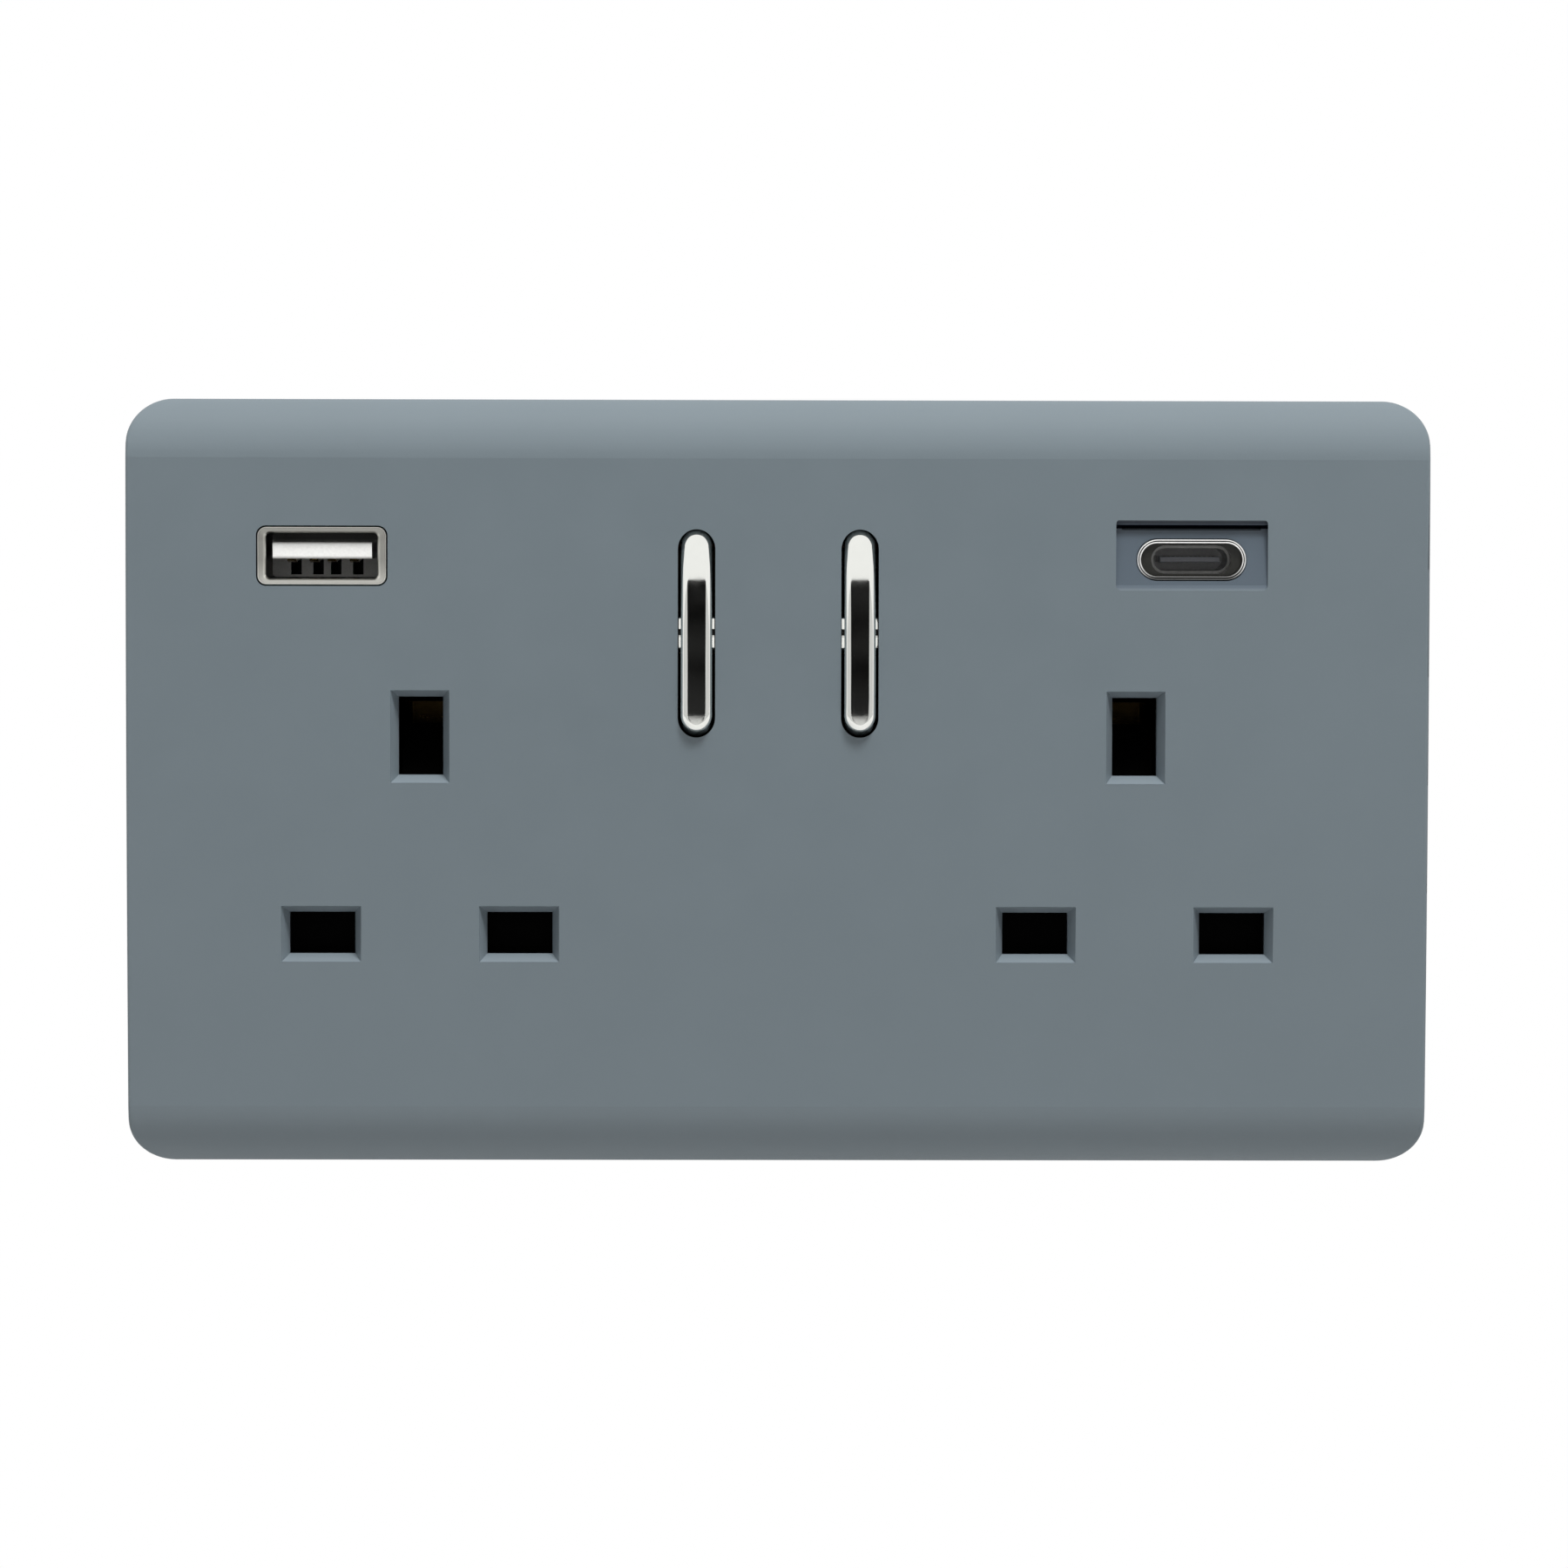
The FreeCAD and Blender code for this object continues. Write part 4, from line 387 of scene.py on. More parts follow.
def rolled_metal():
    """Rolled or turned metal: streaks one way, tarnish in soft patches, and painted shade that turns its
    front part near black, as the shade inside the apertures.
    """
    tree, given, out = effect("Rolled metal", {
        "Colour": (0.8, 0.6, 0.3, 1), "Tarnish": (0.4, 0.25, 0.12, 1), "Tarnish Share": 0.25,
        "Streak Size": 0.0004, "Streak Pull": (1, 1, 1), "Streak Height": 0.000002, "Smooth": 0.22,
        "Dull": 0.4, "Painted Shade Back": -1.0, "Painted Shade Colour": (0.01, 0.008, 0.005, 1),
    })
    at = here(tree)
    pull = place(tree, "ShaderNodeVectorMath", operation="MULTIPLY")
    feed(tree, pull.inputs[0], at)
    feed(tree, pull.inputs[1], given["Streak Pull"])
    streak = sized_noise(tree, pull.outputs[0], given["Streak Size"], 3.0)
    patch = noise(tree, at, 260.0, 4.0, 0.6)
    share = times(tree, spread(tree, patch, 0.0, 1.0, 0.42, 0.68), given["Tarnish Share"])
    colour = blended(tree, share, given["Colour"], given["Tarnish"])
    # Painted shade: in front of the back line the metal is made near black, standing in for the shade in the
    # apertures.
    behind = minus(tree, separated(tree, at)["Y"], given["Painted Shade Back"])
    colour = blended(tree, spread(tree, behind, 1.0, 0.0, 0.0, 0.001), colour, given["Painted Shade Colour"])
    gloss = spread(tree, streak, given["Smooth"], given["Dull"])
    return surface(
        tree, out, tinted(tree, colour, spread(tree, streak, 0.93, 1.05)),
        plus(tree, gloss, times(tree, share, 0.2)), relief(tree, streak, given["Streak Height"]),
    )


def zinc_bloom():
    """Zinc plating: small crystal patches of slightly different brightness, and a faint haze."""
    tree, given, out = effect("Zinc bloom", {
        "Colour": (0.6, 0.6, 0.62, 1), "Haze": (0.7, 0.68, 0.55, 1), "Crystal Size": 0.0012,
        "Contrast": 0.05, "Height": 0.000002, "Smooth": 0.26, "Dull": 0.42,
    })
    at = here(tree)
    shade = place(tree, "ShaderNodeSeparateColor")
    feed(tree, shade.inputs[0], cells(tree, at, given["Crystal Size"])["Color"])
    facet = shade.outputs[0]
    haze = spread(tree, noise(tree, at, 70.0, 4.0, 0.6), 0.0, 0.5, 0.45, 0.7)
    colour = blended(tree, haze, given["Colour"], given["Haze"])
    return surface(
        tree, out, tinted(tree, colour, around_one(tree, facet, given["Contrast"], 0.0, 1.0)),
        spread(tree, facet, given["Smooth"], given["Dull"], 0.0, 1.0),
        relief(tree, noise(tree, at, 3800.0), given["Height"]),
    )


def wound_turns():
    """Turns of wire or film about a middle line, seen as fine even bands."""
    tree, given, out = effect("Wound turns", {
        "Ridge": (0.6, 0.2, 0.05, 1), "Groove": (0.1, 0.03, 0.01, 1), "Along": (0, 1, 0), "Turn": 0.0004,
        "Height": 0.00005, "Smooth": 0.2, "Dull": 0.35,
    })
    at = here(tree)
    along = place(tree, "ShaderNodeVectorMath", operation="DOT_PRODUCT")
    feed(tree, along.inputs[0], at)
    feed(tree, along.inputs[1], given["Along"])
    turns = over(tree, along.outputs["Value"], given["Turn"])
    ridge = size_of(tree, arithmetic(tree, "SINE", times(tree, turns, math.pi)))
    return surface(
        tree, out, blended(tree, ridge, given["Groove"], given["Ridge"]),
        spread(tree, noise(tree, at, 900.0, 3.0), given["Smooth"], given["Dull"]),
        relief(tree, ridge, given["Height"]),
    )


def masked_board():
    """Printed board: tracks under green lacquer, standing a little proud."""
    tree, given, out = effect("Masked board", {
        "Lacquer": (0.01, 0.09, 0.04, 1), "Track": (0.03, 0.2, 0.09, 1), "Cell": 0.0045, "Width": 0.12,
        "Height": 0.00003,
    })
    at = here(tree)
    first, second = [
        cells(tree, at, given["Cell"], feature=rank, distance="CHEBYCHEV")["Distance"]
        for rank in ("F1", "F2")
    ]
    edge = minus(tree, second, first)
    track = spread(tree, edge, 1.0, 0.0, times(tree, given["Width"], 0.8), given["Width"])
    return surface(
        tree, out, blended(tree, track, given["Lacquer"], given["Track"]),
        spread(tree, noise(tree, at, 500.0, 3.0), 0.2, 0.32), relief(tree, track, given["Height"]),
    )


DEEP = {
    "Colour": (0.6, 0.6, 0.6, 1), "Deep Colour": (0.02, 0.02, 0.02, 1), "Front": -0.009, "Reach": 0.0007,
    "Grain Size": 0.0003, "Grain Height": 0.000001, "Smooth": 0.2, "Dull": 0.35,
}
# Where a port takes its painted shade or painted light, in reaches behind its front edge.
DEEP_FADE = (0.6, 1.6)
# Where the lower and the upper part of a port take their painted light and shade, in half-heights above its
# middle.
LOW_FADE = (-0.7, -0.15)
HIGH_FADE = (0.47, 0.55)
# Where the painted shade along the middle of a lip fades out towards its ends, in lip widths from its
# middle.
LIP_FADE = (0.2, 0.45)


def deep_skin():
    """A surface whose colour turns to its Deep Colour behind a port's front edge: painted shade where hardly
    any light reaches, or painted light where the Deep Colour is paler.
    """
    tree, given, out = effect("Deep skin", DEEP)
    at = here(tree)
    behind = minus(tree, separated(tree, at)["Y"], given["Front"])
    share = spread(tree, over(tree, behind, given["Reach"]), 0.0, 1.0, *DEEP_FADE)
    grain = sized_noise(tree, at, given["Grain Size"], 3.0)
    colour = blended(tree, share, given["Colour"], given["Deep Colour"])
    return surface(
        tree, out, tinted(tree, colour, spread(tree, grain, 0.95, 1.03)),
        spread(tree, grain, given["Smooth"], given["Dull"]), relief(tree, grain, given["Grain Height"]),
    )


def lipped_skin():
    """Deep skin whose front edge rolls inwards all round a rounded opening, with painted light and shade:
    paler or darker low down, darker high up and darker along the middle of the lip.
    """
    tree, given, out = effect("Lipped skin", {
        **DEEP, "Lip Middle": (0, 0, 0), "Lip Half": (0.007, 0, 0.003), "Lip Round": 0.001,
        "Lip Width": 0.0008, "Lip Slope": 0.3, "Lip Painted Shade": 0.6, "Low Painted Light": 1.0, "High Painted Shade": 1.0,
    })
    skin = place(tree, "ShaderNodeGroup", node_tree=shared(deep_skin))
    feed_all(tree, skin, {label: given[label] for label in DEEP})
    point = separated(tree, here(tree))
    middle = separated(tree, given["Lip Middle"])
    half = separated(tree, given["Lip Half"])
    excess = []
    off = 0.0
    for axis in ("X", "Z"):
        off = minus(tree, point[axis], middle[axis])
        straight = minus(tree, half[axis], given["Lip Round"])
        excess.append(minus(tree, size_of(tree, off), straight))
    beyond = [arithmetic(tree, "MAXIMUM", value, 0.0) for value in excess]
    squares = [times(tree, value, value) for value in beyond]
    corner = arithmetic(tree, "SQRT", plus(tree, *squares))
    within = arithmetic(tree, "MINIMUM", arithmetic(tree, "MAXIMUM", *excess), 0.0)
    edge = minus(tree, plus(tree, corner, within), given["Lip Round"])
    width = given["Lip Width"]
    fall = spread(tree, edge, 0.0, width, times(tree, width, -1.0), 0.0)
    height = times(tree, fall, given["Lip Slope"])
    ends = over(tree, size_of(tree, minus(tree, fall, times(tree, width, 0.5))), width)
    up = over(tree, off, half["Z"])
    # Painted light and shade: the lower part made paler or darker, the upper part darker.
    shade = times(
        tree, spread(tree, up, given["Low Painted Light"], 1.0, *LOW_FADE),
        spread(tree, up, 1.0, given["High Painted Shade"], *HIGH_FADE),
    )
    # Painted shade: a darker band along the middle of the lip.
    shade = times(tree, shade, spread(tree, ends, given["Lip Painted Shade"], 1.0, *LIP_FADE))
    return surface(
        tree, out, tinted(tree, skin.outputs["Color"], shade), skin.outputs["Roughness"],
        relief(tree, height, 1.0, skin.outputs["Normal"]),
    )


def plate_skin():
    """The plate's moulded skin, with painted light on the cut-in edges and painted shade in the scoop round
    the small port: darker still on its upper wall, and a near-black painted shadow line without gloss in the
    slit below it.
    """
    tree, given, out = effect("Plate skin", {
        "Colour": (0.2, 0.2, 0.2, 1), "Cut Painted Light": (0.25, 0.25, 0.25, 1),
        "Scoop Painted Shade": (0.1, 0.1, 0.1, 1), "Ledge Painted Shade": (0.03, 0.03, 0.03, 1), "Front": -0.009,
        "Crown Rise": 0.0005, "Crown Half": 0.0364, "Scoop Middle": (0, 0, 0),
        "Scoop Half": (0.01, 0, 0.004), "Ledge": 0.0008, "Slit": 0.0002, "Slit Painted Shadow": (0, 0, 0, 1),
        **GRAIN, "Shine": 0.5,
    }, **{SPECULAR: "NodeSocketFloat"})
    point = separated(tree, here(tree))
    middle = separated(tree, given["Scoop Middle"])
    half = separated(tree, given["Scoop Half"])
    up = over(tree, point["Z"], given["Crown Half"])
    face = times(tree, times(tree, up, up), given["Crown Rise"])
    behind = minus(tree, point["Y"], plus(tree, face, given["Front"]))
    sunk = spread(tree, behind, 0.0, 1.0, 0.04 * MM, 0.22 * MM)
    field = times(
        tree, inside(tree, point["X"], 0.0, FIELD_HALF_X, MM),
        inside(tree, point["Z"], 0.0, FIELD_HALF_Z, MM),
    )
    hollow = 1.0
    for axis in ("X", "Z"):
        within = inside(tree, point[axis], middle[axis], half[axis], 0.1 * MM)
        hollow = times(tree, within, hollow)
    # Painted shade: the sunk scoop is darker, its upper wall darker still, and the slit under the wall a
    # near-black painted shadow line with its gloss taken away.
    scoop = times(tree, spread(tree, behind, 0.0, 1.0, 0.0, 0.16 * MM), hollow)
    # Painted light: the cut-in edges of the apertures are made paler than the plate.
    cut = times(tree, sunk, times(tree, field, minus(tree, 1.0, hollow)))
    top = plus(tree, middle["Z"], half["Z"])
    ledge = inside(tree, point["Z"], top, given["Ledge"], 0.1 * MM)
    foot = minus(tree, minus(tree, top, given["Ledge"]), given["Slit"])
    slit = inside(tree, point["Z"], foot, given["Slit"], 0.08 * MM)
    shade = blended(tree, ledge, given["Scoop Painted Shade"], given["Ledge Painted Shade"])
    shade = blended(tree, slit, shade, given["Slit Painted Shadow"])
    shine = times(tree, given["Shine"], minus(tree, 1.0, times(tree, slit, scoop)))
    feed(tree, out[SPECULAR], shine)
    skin = place(tree, "ShaderNodeGroup", node_tree=shared(moulded_skin))
    colour = blended(tree, cut, given["Colour"], given["Cut Painted Light"])
    feed_all(tree, skin, {
        "Colour": blended(tree, scoop, colour, shade), "Mottle": 0.012, "Mottle Size": 0.02,
        **{label: given[label] for label in GRAIN},
    })
    return surface(tree, out, *[skin.outputs[label] for label in SURFACE])


EFFECTS = {}


def shared(group):
    """Builds an effect the first time it is used."""
    if group.__name__ not in EFFECTS:
        EFFECTS[group.__name__] = group()
    return EFFECTS[group.__name__]


def new_material(name):
    material = bpy.data.materials.new(name)
    material.use_nodes = True
    tree = material.node_tree
    return material, tree, tree.nodes["Principled BSDF"]


def finish(name, group, values, metallic=0.0, specular=0.5):
    """A material whose surface varies as one of the effects says."""
    material, tree, shader = new_material(name)
    skin = place(tree, "ShaderNodeGroup", node_tree=shared(group))
    for label, value in values.items():
        if skin.inputs[label].type == "RGBA":
            value = (*value, 1.0)
        skin.inputs[label].default_value = value
    feed_all(tree, shader, {
        "Base Color": skin.outputs["Color"], "Roughness": skin.outputs["Roughness"],
        "Normal": skin.outputs["Normal"], "Metallic": metallic, SPECULAR: specular,
    })
    if SPECULAR in skin.outputs:
        feed(tree, shader.inputs[SPECULAR], skin.outputs[SPECULAR])
    material.diffuse_color = skin.inputs[0].default_value
    return material


def clad(material, *nodes):
    """Gives a material to pieces that keep their own shape."""
    for name in nodes:
        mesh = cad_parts[name].data
        mesh.materials.clear()
        mesh.materials.append(material)


def shape_tree(name, *measures, counts=()):
    """A shape tree with named measures and counts and a material, and its inputs as seen from within."""
    tree = bpy.data.node_groups.new(name, "GeometryNodeTree")
    kinds = {"Geometry": "NodeSocketGeometry"}
    kinds.update((label, "NodeSocketInt") for label in counts)
    kinds.update((label, "NodeSocketFloat") for label in measures)
    kinds["Material"] = "NodeSocketMaterial"
    for label, kind in kinds.items():
        tree.interface.new_socket(label, in_out="INPUT", socket_type=kind)
    tree.interface.new_socket("Geometry", in_out="OUTPUT", socket_type="NodeSocketGeometry")
    return tree, place(tree, "NodeGroupInput").outputs


def end_tree(tree, given, shape, turn):
    """Ends a tree with one copy of a shape at each point, all turned the same way."""
    copies = place(tree, "GeometryNodeInstanceOnPoints")
    feed_all(tree, copies, {"Points": given["Geometry"], "Instance": shape, "Rotation": turn})
    realised = place(tree, "GeometryNodeRealizeInstances")
    feed(tree, realised.inputs[0], copies.outputs[0])
    painted = place(tree, "GeometryNodeSetMaterial")
    feed_all(tree, painted, {"Geometry": realised.outputs[0], "Material": given["Material"]})
    feed(tree, place(tree, "NodeGroupOutput").inputs[0], painted.outputs[0])
    return tree


def grown(name, points, tree, values):
    """Runs a shape tree on a set of points and keeps the result as a plain mesh."""
    seed = bpy.data.meshes.new(name + "_points")
    seed.from_pydata([tuple(point) for point in points], [], [])
    holder = bpy.data.objects.new(name + "_points", seed)
    bpy.context.scene.collection.objects.link(holder)
    modifier = holder.modifiers.new("Shape", "NODES")
    modifier.node_group = tree
    sockets = {
        item.name: item.identifier for item in tree.interface.items_tree
        if item.item_type == "SOCKET" and item.in_out == "INPUT"
    }
    for label, value in values.items():
        modifier[sockets[label]] = value
    holder.update_tag()
    bpy.context.view_layer.update()
    evaluated = holder.evaluated_get(bpy.context.evaluated_depsgraph_get())
    mesh = bpy.data.meshes.new_from_object(evaluated)
    mesh.name = name
    piece = bpy.data.objects.new(name, mesh)
    bpy.context.scene.collection.objects.link(piece)
    bpy.data.objects.remove(holder)
    if not mesh.polygons:
        raise RuntimeError(name + " has no faces")
    return piece


def raised(tree, geometry, distance):
    """Moves a shape along +Z."""
    moved = place(tree, "GeometryNodeTransform")
    feed_all(tree, moved, {"Geometry": geometry, "Translation": combined(tree, z=distance)})
    return moved.outputs[0]


def turned_bar(tree, radius, length, sides):
    """A round bar along +Z from the origin."""
    bar = place(tree, "GeometryNodeMeshCylinder", fill_type="NGON")
    feed_all(tree, bar, {"Vertices": sides, "Radius": radius, "Depth": length})
    return raised(tree, bar.outputs["Mesh"], times(tree, length, 0.5))


def thread_ridge(tree, radius, pitch, height, length):
    """A spiral ridge of six-sided section along +Z."""
    spiral = place(tree, "GeometryNodeCurveSpiral")
    feed_all(tree, spiral, {
        "Resolution": 24, "Rotations": over(tree, length, pitch), "Start Radius": radius,
        "End Radius": radius, "Height": length,
    })
    section = place(tree, "GeometryNodeCurvePrimitiveCircle")
    feed_all(tree, section, {"Resolution": 6, "Radius": height})
    ridge = place(tree, "GeometryNodeCurveToMesh")
    feed_all(tree, ridge, {
        "Curve": spiral.outputs[0], "Profile Curve": section.outputs["Curve"], "Fill Caps": True,
    })
    return ridge.outputs[0]


def square_bar(tree, x, y, z):
    """A bar of square section, centred on the origin."""
    bar = place(tree, "GeometryNodeMeshCube")
    feed(tree, bar.inputs["Size"], combined(tree, x, y, z))
    return bar.outputs["Mesh"]


def together(tree, *parts):
    joined = place(tree, "GeometryNodeJoinGeometry")
    for part in parts:
        tree.links.new(part, joined.inputs[0])
    return joined.outputs[0]


def cut_away(tree, body, tool):
    node = place(tree, "GeometryNodeMeshBoolean", operation="DIFFERENCE", solver="EXACT")
    feed_all(tree, node, {"Mesh 1": body, "Mesh 2": tool})
    return node.outputs["Mesh"]


OUTWARD = (math.radians(90), 0, 0)


def cross_head_screw_tree():
    """Round-headed screws with a cross recess. Each point is the middle of a head's outer face."""
    tree, given = shape_tree(
        "Cross-head screws", "Head Radius", "Head Height", "Shank Radius", "Shank Length", "Thread Pitch",
        "Thread Height", "Recess Width", "Recess Reach", "Recess Depth",
    )
    head = turned_bar(tree, given["Head Radius"], given["Head Height"], 48)
    deep = times(tree, given["Recess Depth"], 2.0)
    width, reach = given["Recess Width"], given["Recess Reach"]
    for x, y in ((width, reach), (reach, width)):
        head = cut_away(tree, head, square_bar(tree, x, y, deep))
    radius, length = given["Shank Radius"], given["Shank Length"]
    ridge = thread_ridge(tree, radius, given["Thread Pitch"], given["Thread Height"], length)
    shank = together(tree, turned_bar(tree, radius, length, 32), ridge)
    screw = together(tree, head, raised(tree, shank, given["Head Height"]))
    return end_tree(tree, given, screw, OUTWARD)


def clamp_screw_tree():
    """Headless screws with a straight slot. Each point is the middle of a screw's outer face."""
    tree, given = shape_tree(
        "Clamp screws", "Core Radius", "Length", "Thread Pitch", "Thread Height", "Slot Width", "Slot Depth"
    )
    across = times(tree, given["Core Radius"], 3.0)
    deep = times(tree, given["Slot Depth"], 2.0)
    body = turned_bar(tree, given["Core Radius"], given["Length"], 48)
    body = cut_away(tree, body, square_bar(tree, across, given["Slot Width"], deep))
    threaded = minus(tree, given["Length"], deep)
    ridge = thread_ridge(tree, given["Core Radius"], given["Thread Pitch"], given["Thread Height"], threaded)
    screw = together(tree, body, raised(tree, ridge, given["Slot Depth"]))
    return end_tree(tree, given, screw, OUTWARD)


def wound_coil_tree():
    """Turns of round wire, close together. The point is the middle of the coil's rear end."""
    tree, given = shape_tree("Wound coil", "Outer Radius", "Wire Radius", "Length")
    wire = given["Wire Radius"]
    layers = []
    for layer in (1.0, 3.0):
        radius = arithmetic(tree, "MULTIPLY_ADD", wire, -layer, given["Outer Radius"])
        pitch = times(tree, wire, 2.0)
        turns = minus(tree, given["Length"], pitch)
        layers.append(raised(tree, thread_ridge(tree, radius, pitch, wire, turns), wire))
    return end_tree(tree, given, together(tree, *layers), OUTWARD)


def contact_pad_tree():
    """A row of pads through a tongue, level with both of its faces. The point is the row's middle."""
    tree, given = shape_tree("Contact pads", "Pitch", "Width", "Length", "Height", counts=("Count",))
    half = times(tree, minus(tree, given["Count"], 1.0), -0.5)
    row = place(tree, "GeometryNodeMeshLine", mode="OFFSET")
    feed_all(tree, row, {
        "Count": given["Count"], "Start Location": combined(tree, times(tree, half, given["Pitch"])),
        "Offset": combined(tree, given["Pitch"]),
    })
    pads = place(tree, "GeometryNodeInstanceOnPoints")
    pad = square_bar(tree, given["Width"], given["Length"], given["Height"])
    feed_all(tree, pads, {"Points": row.outputs["Mesh"], "Instance": pad})
    return end_tree(tree, given, pads.outputs[0], (0, 0, 0))


class SOCKET_OT_plate(bpy.types.Operator):
    """Finish the grey plate"""
    bl_idname = "wall_socket.plate"
    bl_label = "Plate"

    def execute(self, context):
        look = context.scene.socket_plate
        trim_low, trim_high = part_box("usb_c_trim")
        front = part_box("front_cover")[0].y
        grey_plate = finish("grey_plate", plate_skin, {
            "Colour": look.colour, "Cut Painted Light": look.cut, "Scoop Painted Shade": look.scoop,
            "Ledge Painted Shade": look.ledge, "Slit Painted Shadow": linear(10, 13, 22), "Front": front,
            "Scoop Middle": ((trim_low.x + trim_high.x) / 2, front, SCOOP_Z),
            "Scoop Half": (SCOOP_HALF_X, 0, SCOOP_HALF_Z), "Ledge": LEDGE_HEIGHT, "Slit": SLIT_HALF,
            "Grain Size": look.grain_size, "Grain Height": look.grain_height, "Smooth": look.smooth,
            "Dull": look.dull,
        })
        clad(grey_plate, "front_cover")
        return {"FINISHED"}


class SOCKET_OT_rockers(bpy.types.Operator):
    """Finish the rocker bars and what turns with them"""
    bl_idname = "wall_socket.rockers"
    bl_label = "Rockers"

    def execute(self, context):
        look = context.scene.socket_rockers
        chrome = finish("chrome", plated_skin, {
            "Colour": look.chrome, "Ripple Height": look.ripple, "Smooth": 0.03, "Dull": 0.07,
        }, 1.0)
        black = finish("carrier_plastic", moulded_skin, {"Colour": look.body_black, "Mottle": 0.05})
        ivory = finish("plunger_plastic", moulded_skin, {
            "Colour": linear(225, 222, 212), "Mottle": 0.02, "Mottle Size": 0.003, "Smooth": 0.25,
            "Dull": 0.4,
        })
        spring = finish("spring_steel", plated_skin, {
            "Colour": linear(190, 192, 196), "Ripple Size": 0.001, "Smooth": 0.16, "Dull": 0.34,
        }, 1.0)
        for side in ("left", "right"):
            clad(chrome, "rocker_bar_" + side)
            clad(black, "rocker_carrier_" + side)
            clad(ivory, "plunger_" + side)
            clad(spring, "plunger_spring_" + side, "shutter_spring_" + side)
        return {"FINISHED"}


class SOCKET_OT_mouldings(bpy.types.Operator):
    """Finish the black mouldings and the shutters"""
    bl_idname = "wall_socket.mouldings"
    bl_label = "Mouldings"

    def execute(self, context):
        front = finish("black_moulding", moulded_skin, {
            "Colour": linear(22, 23, 25), "Mottle": 0.05, "Smooth": 0.4, "Dull": 0.55,
        })
        rear = finish("housing_black", moulded_skin, {
            "Colour": linear(36, 37, 39), "Mottle": 0.05, "Mottle Size": 0.016, "Grain Size": 0.0004,
            "Grain Height": 0.000009, "Smooth": 0.36, "Dull": 0.52,
        })
        shutter = finish("shutter_plastic", moulded_skin, {
            "Colour": context.scene.socket_plate.slot_black, "Mottle": 0.05, "Smooth": 0.5, "Dull": 0.65,
        }, specular=0.02)
        clad(front, "front_moulding")
        clad(rear, "rear_housing")
        clad(shutter, "shutter_left", "shutter_right")
        return {"FINISHED"}


class SOCKET_OT_metalwork(bpy.types.Operator):
    """Finish the frame, the bars, the contacts and the terminals"""
    bl_idname = "wall_socket.metalwork"
    bl_label = "Metalwork"

    def execute(self, context):
        steel = finish("frame_steel", zinc_bloom, {
            "Colour": linear(182, 185, 188), "Haze": linear(182, 182, 172), "Crystal Size": 0.0007,
            "Contrast": 0.025, "Smooth": 0.3, "Dull": 0.38,
        }, 1.0)
        for bars, alloy, bright, tarnish in (
            (COPPER_BARS, "_copper", linear(206, 132, 94), linear(130, 74, 50)),
            (BRASS_BARS, "_brass", linear(206, 172, 100), linear(140, 106, 56)),
        ):
            for name in bars:
                low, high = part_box(name)
                # Each bar's front part, up to its bright share of the depth, is painted near black as the
                # shade in the apertures.
                metal = finish(name + alloy, rolled_metal, {
                    "Colour": bright, "Tarnish": tarnish, "Tarnish Share": 0.4,
                    "Streak Pull": (0.12, 1, 1), "Smooth": 0.14, "Dull": 0.24,
                    "Painted Shade Back": low.y + (high.y - low.y) * BRIGHT_SHARE,
                }, 1.0)
                clad(metal, name)
        block = finish("terminal_brass", rolled_metal, {
            "Colour": linear(208, 174, 98), "Tarnish": linear(140, 104, 52), "Streak Size": 0.0002,
            "Streak Pull": (1, 1, 0.15), "Smooth": 0.26, "Dull": 0.42,
        }, 1.0)
        tip = finish("silver_tip", rolled_metal, {
            "Colour": linear(220, 220, 214), "Tarnish": linear(120, 108, 92), "Tarnish Share": 0.3,
            "Streak Size": 0.0003,
        }, 1.0)
        clad(steel, "mounting_frame")
        clad(block, *TERMINALS)
        clad(tip, "fixed_tips", "moving_tip_left", "moving_tip_right")
        return {"FINISHED"}


class SOCKET_OT_fasteners(bpy.types.Operator):
    """Make the threaded screws"""
    bl_idname = "wall_socket.fasteners"
    bl_label = "Screws"

    def execute(self, context):
        sizes = context.scene.socket_fasteners
        steel = finish("screw_steel", zinc_bloom, {
            "Colour": linear(196, 196, 192), "Haze": linear(200, 190, 140), "Crystal Size": 0.0008,
            "Smooth": 0.2, "Dull": 0.34,
        }, 1.0)
        low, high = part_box("housing_screws")
        points = [(x, high.y, low.z + HEAD_RADIUS) for x in (low.x + HEAD_RADIUS, high.x - HEAD_RADIUS)]
        points += [(x, high.y, high.z - HEAD_RADIUS) for x in (-UPPER_SCREW_X, UPPER_SCREW_X)]
        screws = grown("housing_screw_set", points, cross_head_screw_tree(), {
            "Head Radius": HEAD_RADIUS, "Head Height": HEAD_HEIGHT, "Shank Radius": SHANK_RADIUS,
            "Shank Length": high.y - low.y - HEAD_HEIGHT, "Thread Pitch": sizes.thread_pitch,
            "Thread Height": sizes.thread_height, "Material": steel, **RECESS,
        })
        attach(screws, "socket")
        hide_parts("housing_screws")

        low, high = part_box("terminal_screws")
        radius = (high.z - low.z) / 2
        count = len(TERMINALS)
        pitch = (high.x - low.x - 2 * radius) / (count - 1)
        points = [(low.x + radius + pitch * i, high.y, (low.z + high.z) / 2) for i in range(count)]
        clamps = grown("clamp_screw_set", points, clamp_screw_tree(), {
            "Core Radius": radius - sizes.thread_height, "Length": high.y - low.y,
            "Thread Pitch": sizes.clamp_pitch, "Thread Height": sizes.thread_height,
            "Slot Width": sizes.slot_width, "Slot Depth": CLAMP_SLOT_DEPTH, "Material": steel,
        })
        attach(clamps, "socket")
        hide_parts("terminal_screws")
        return {"FINISHED"}


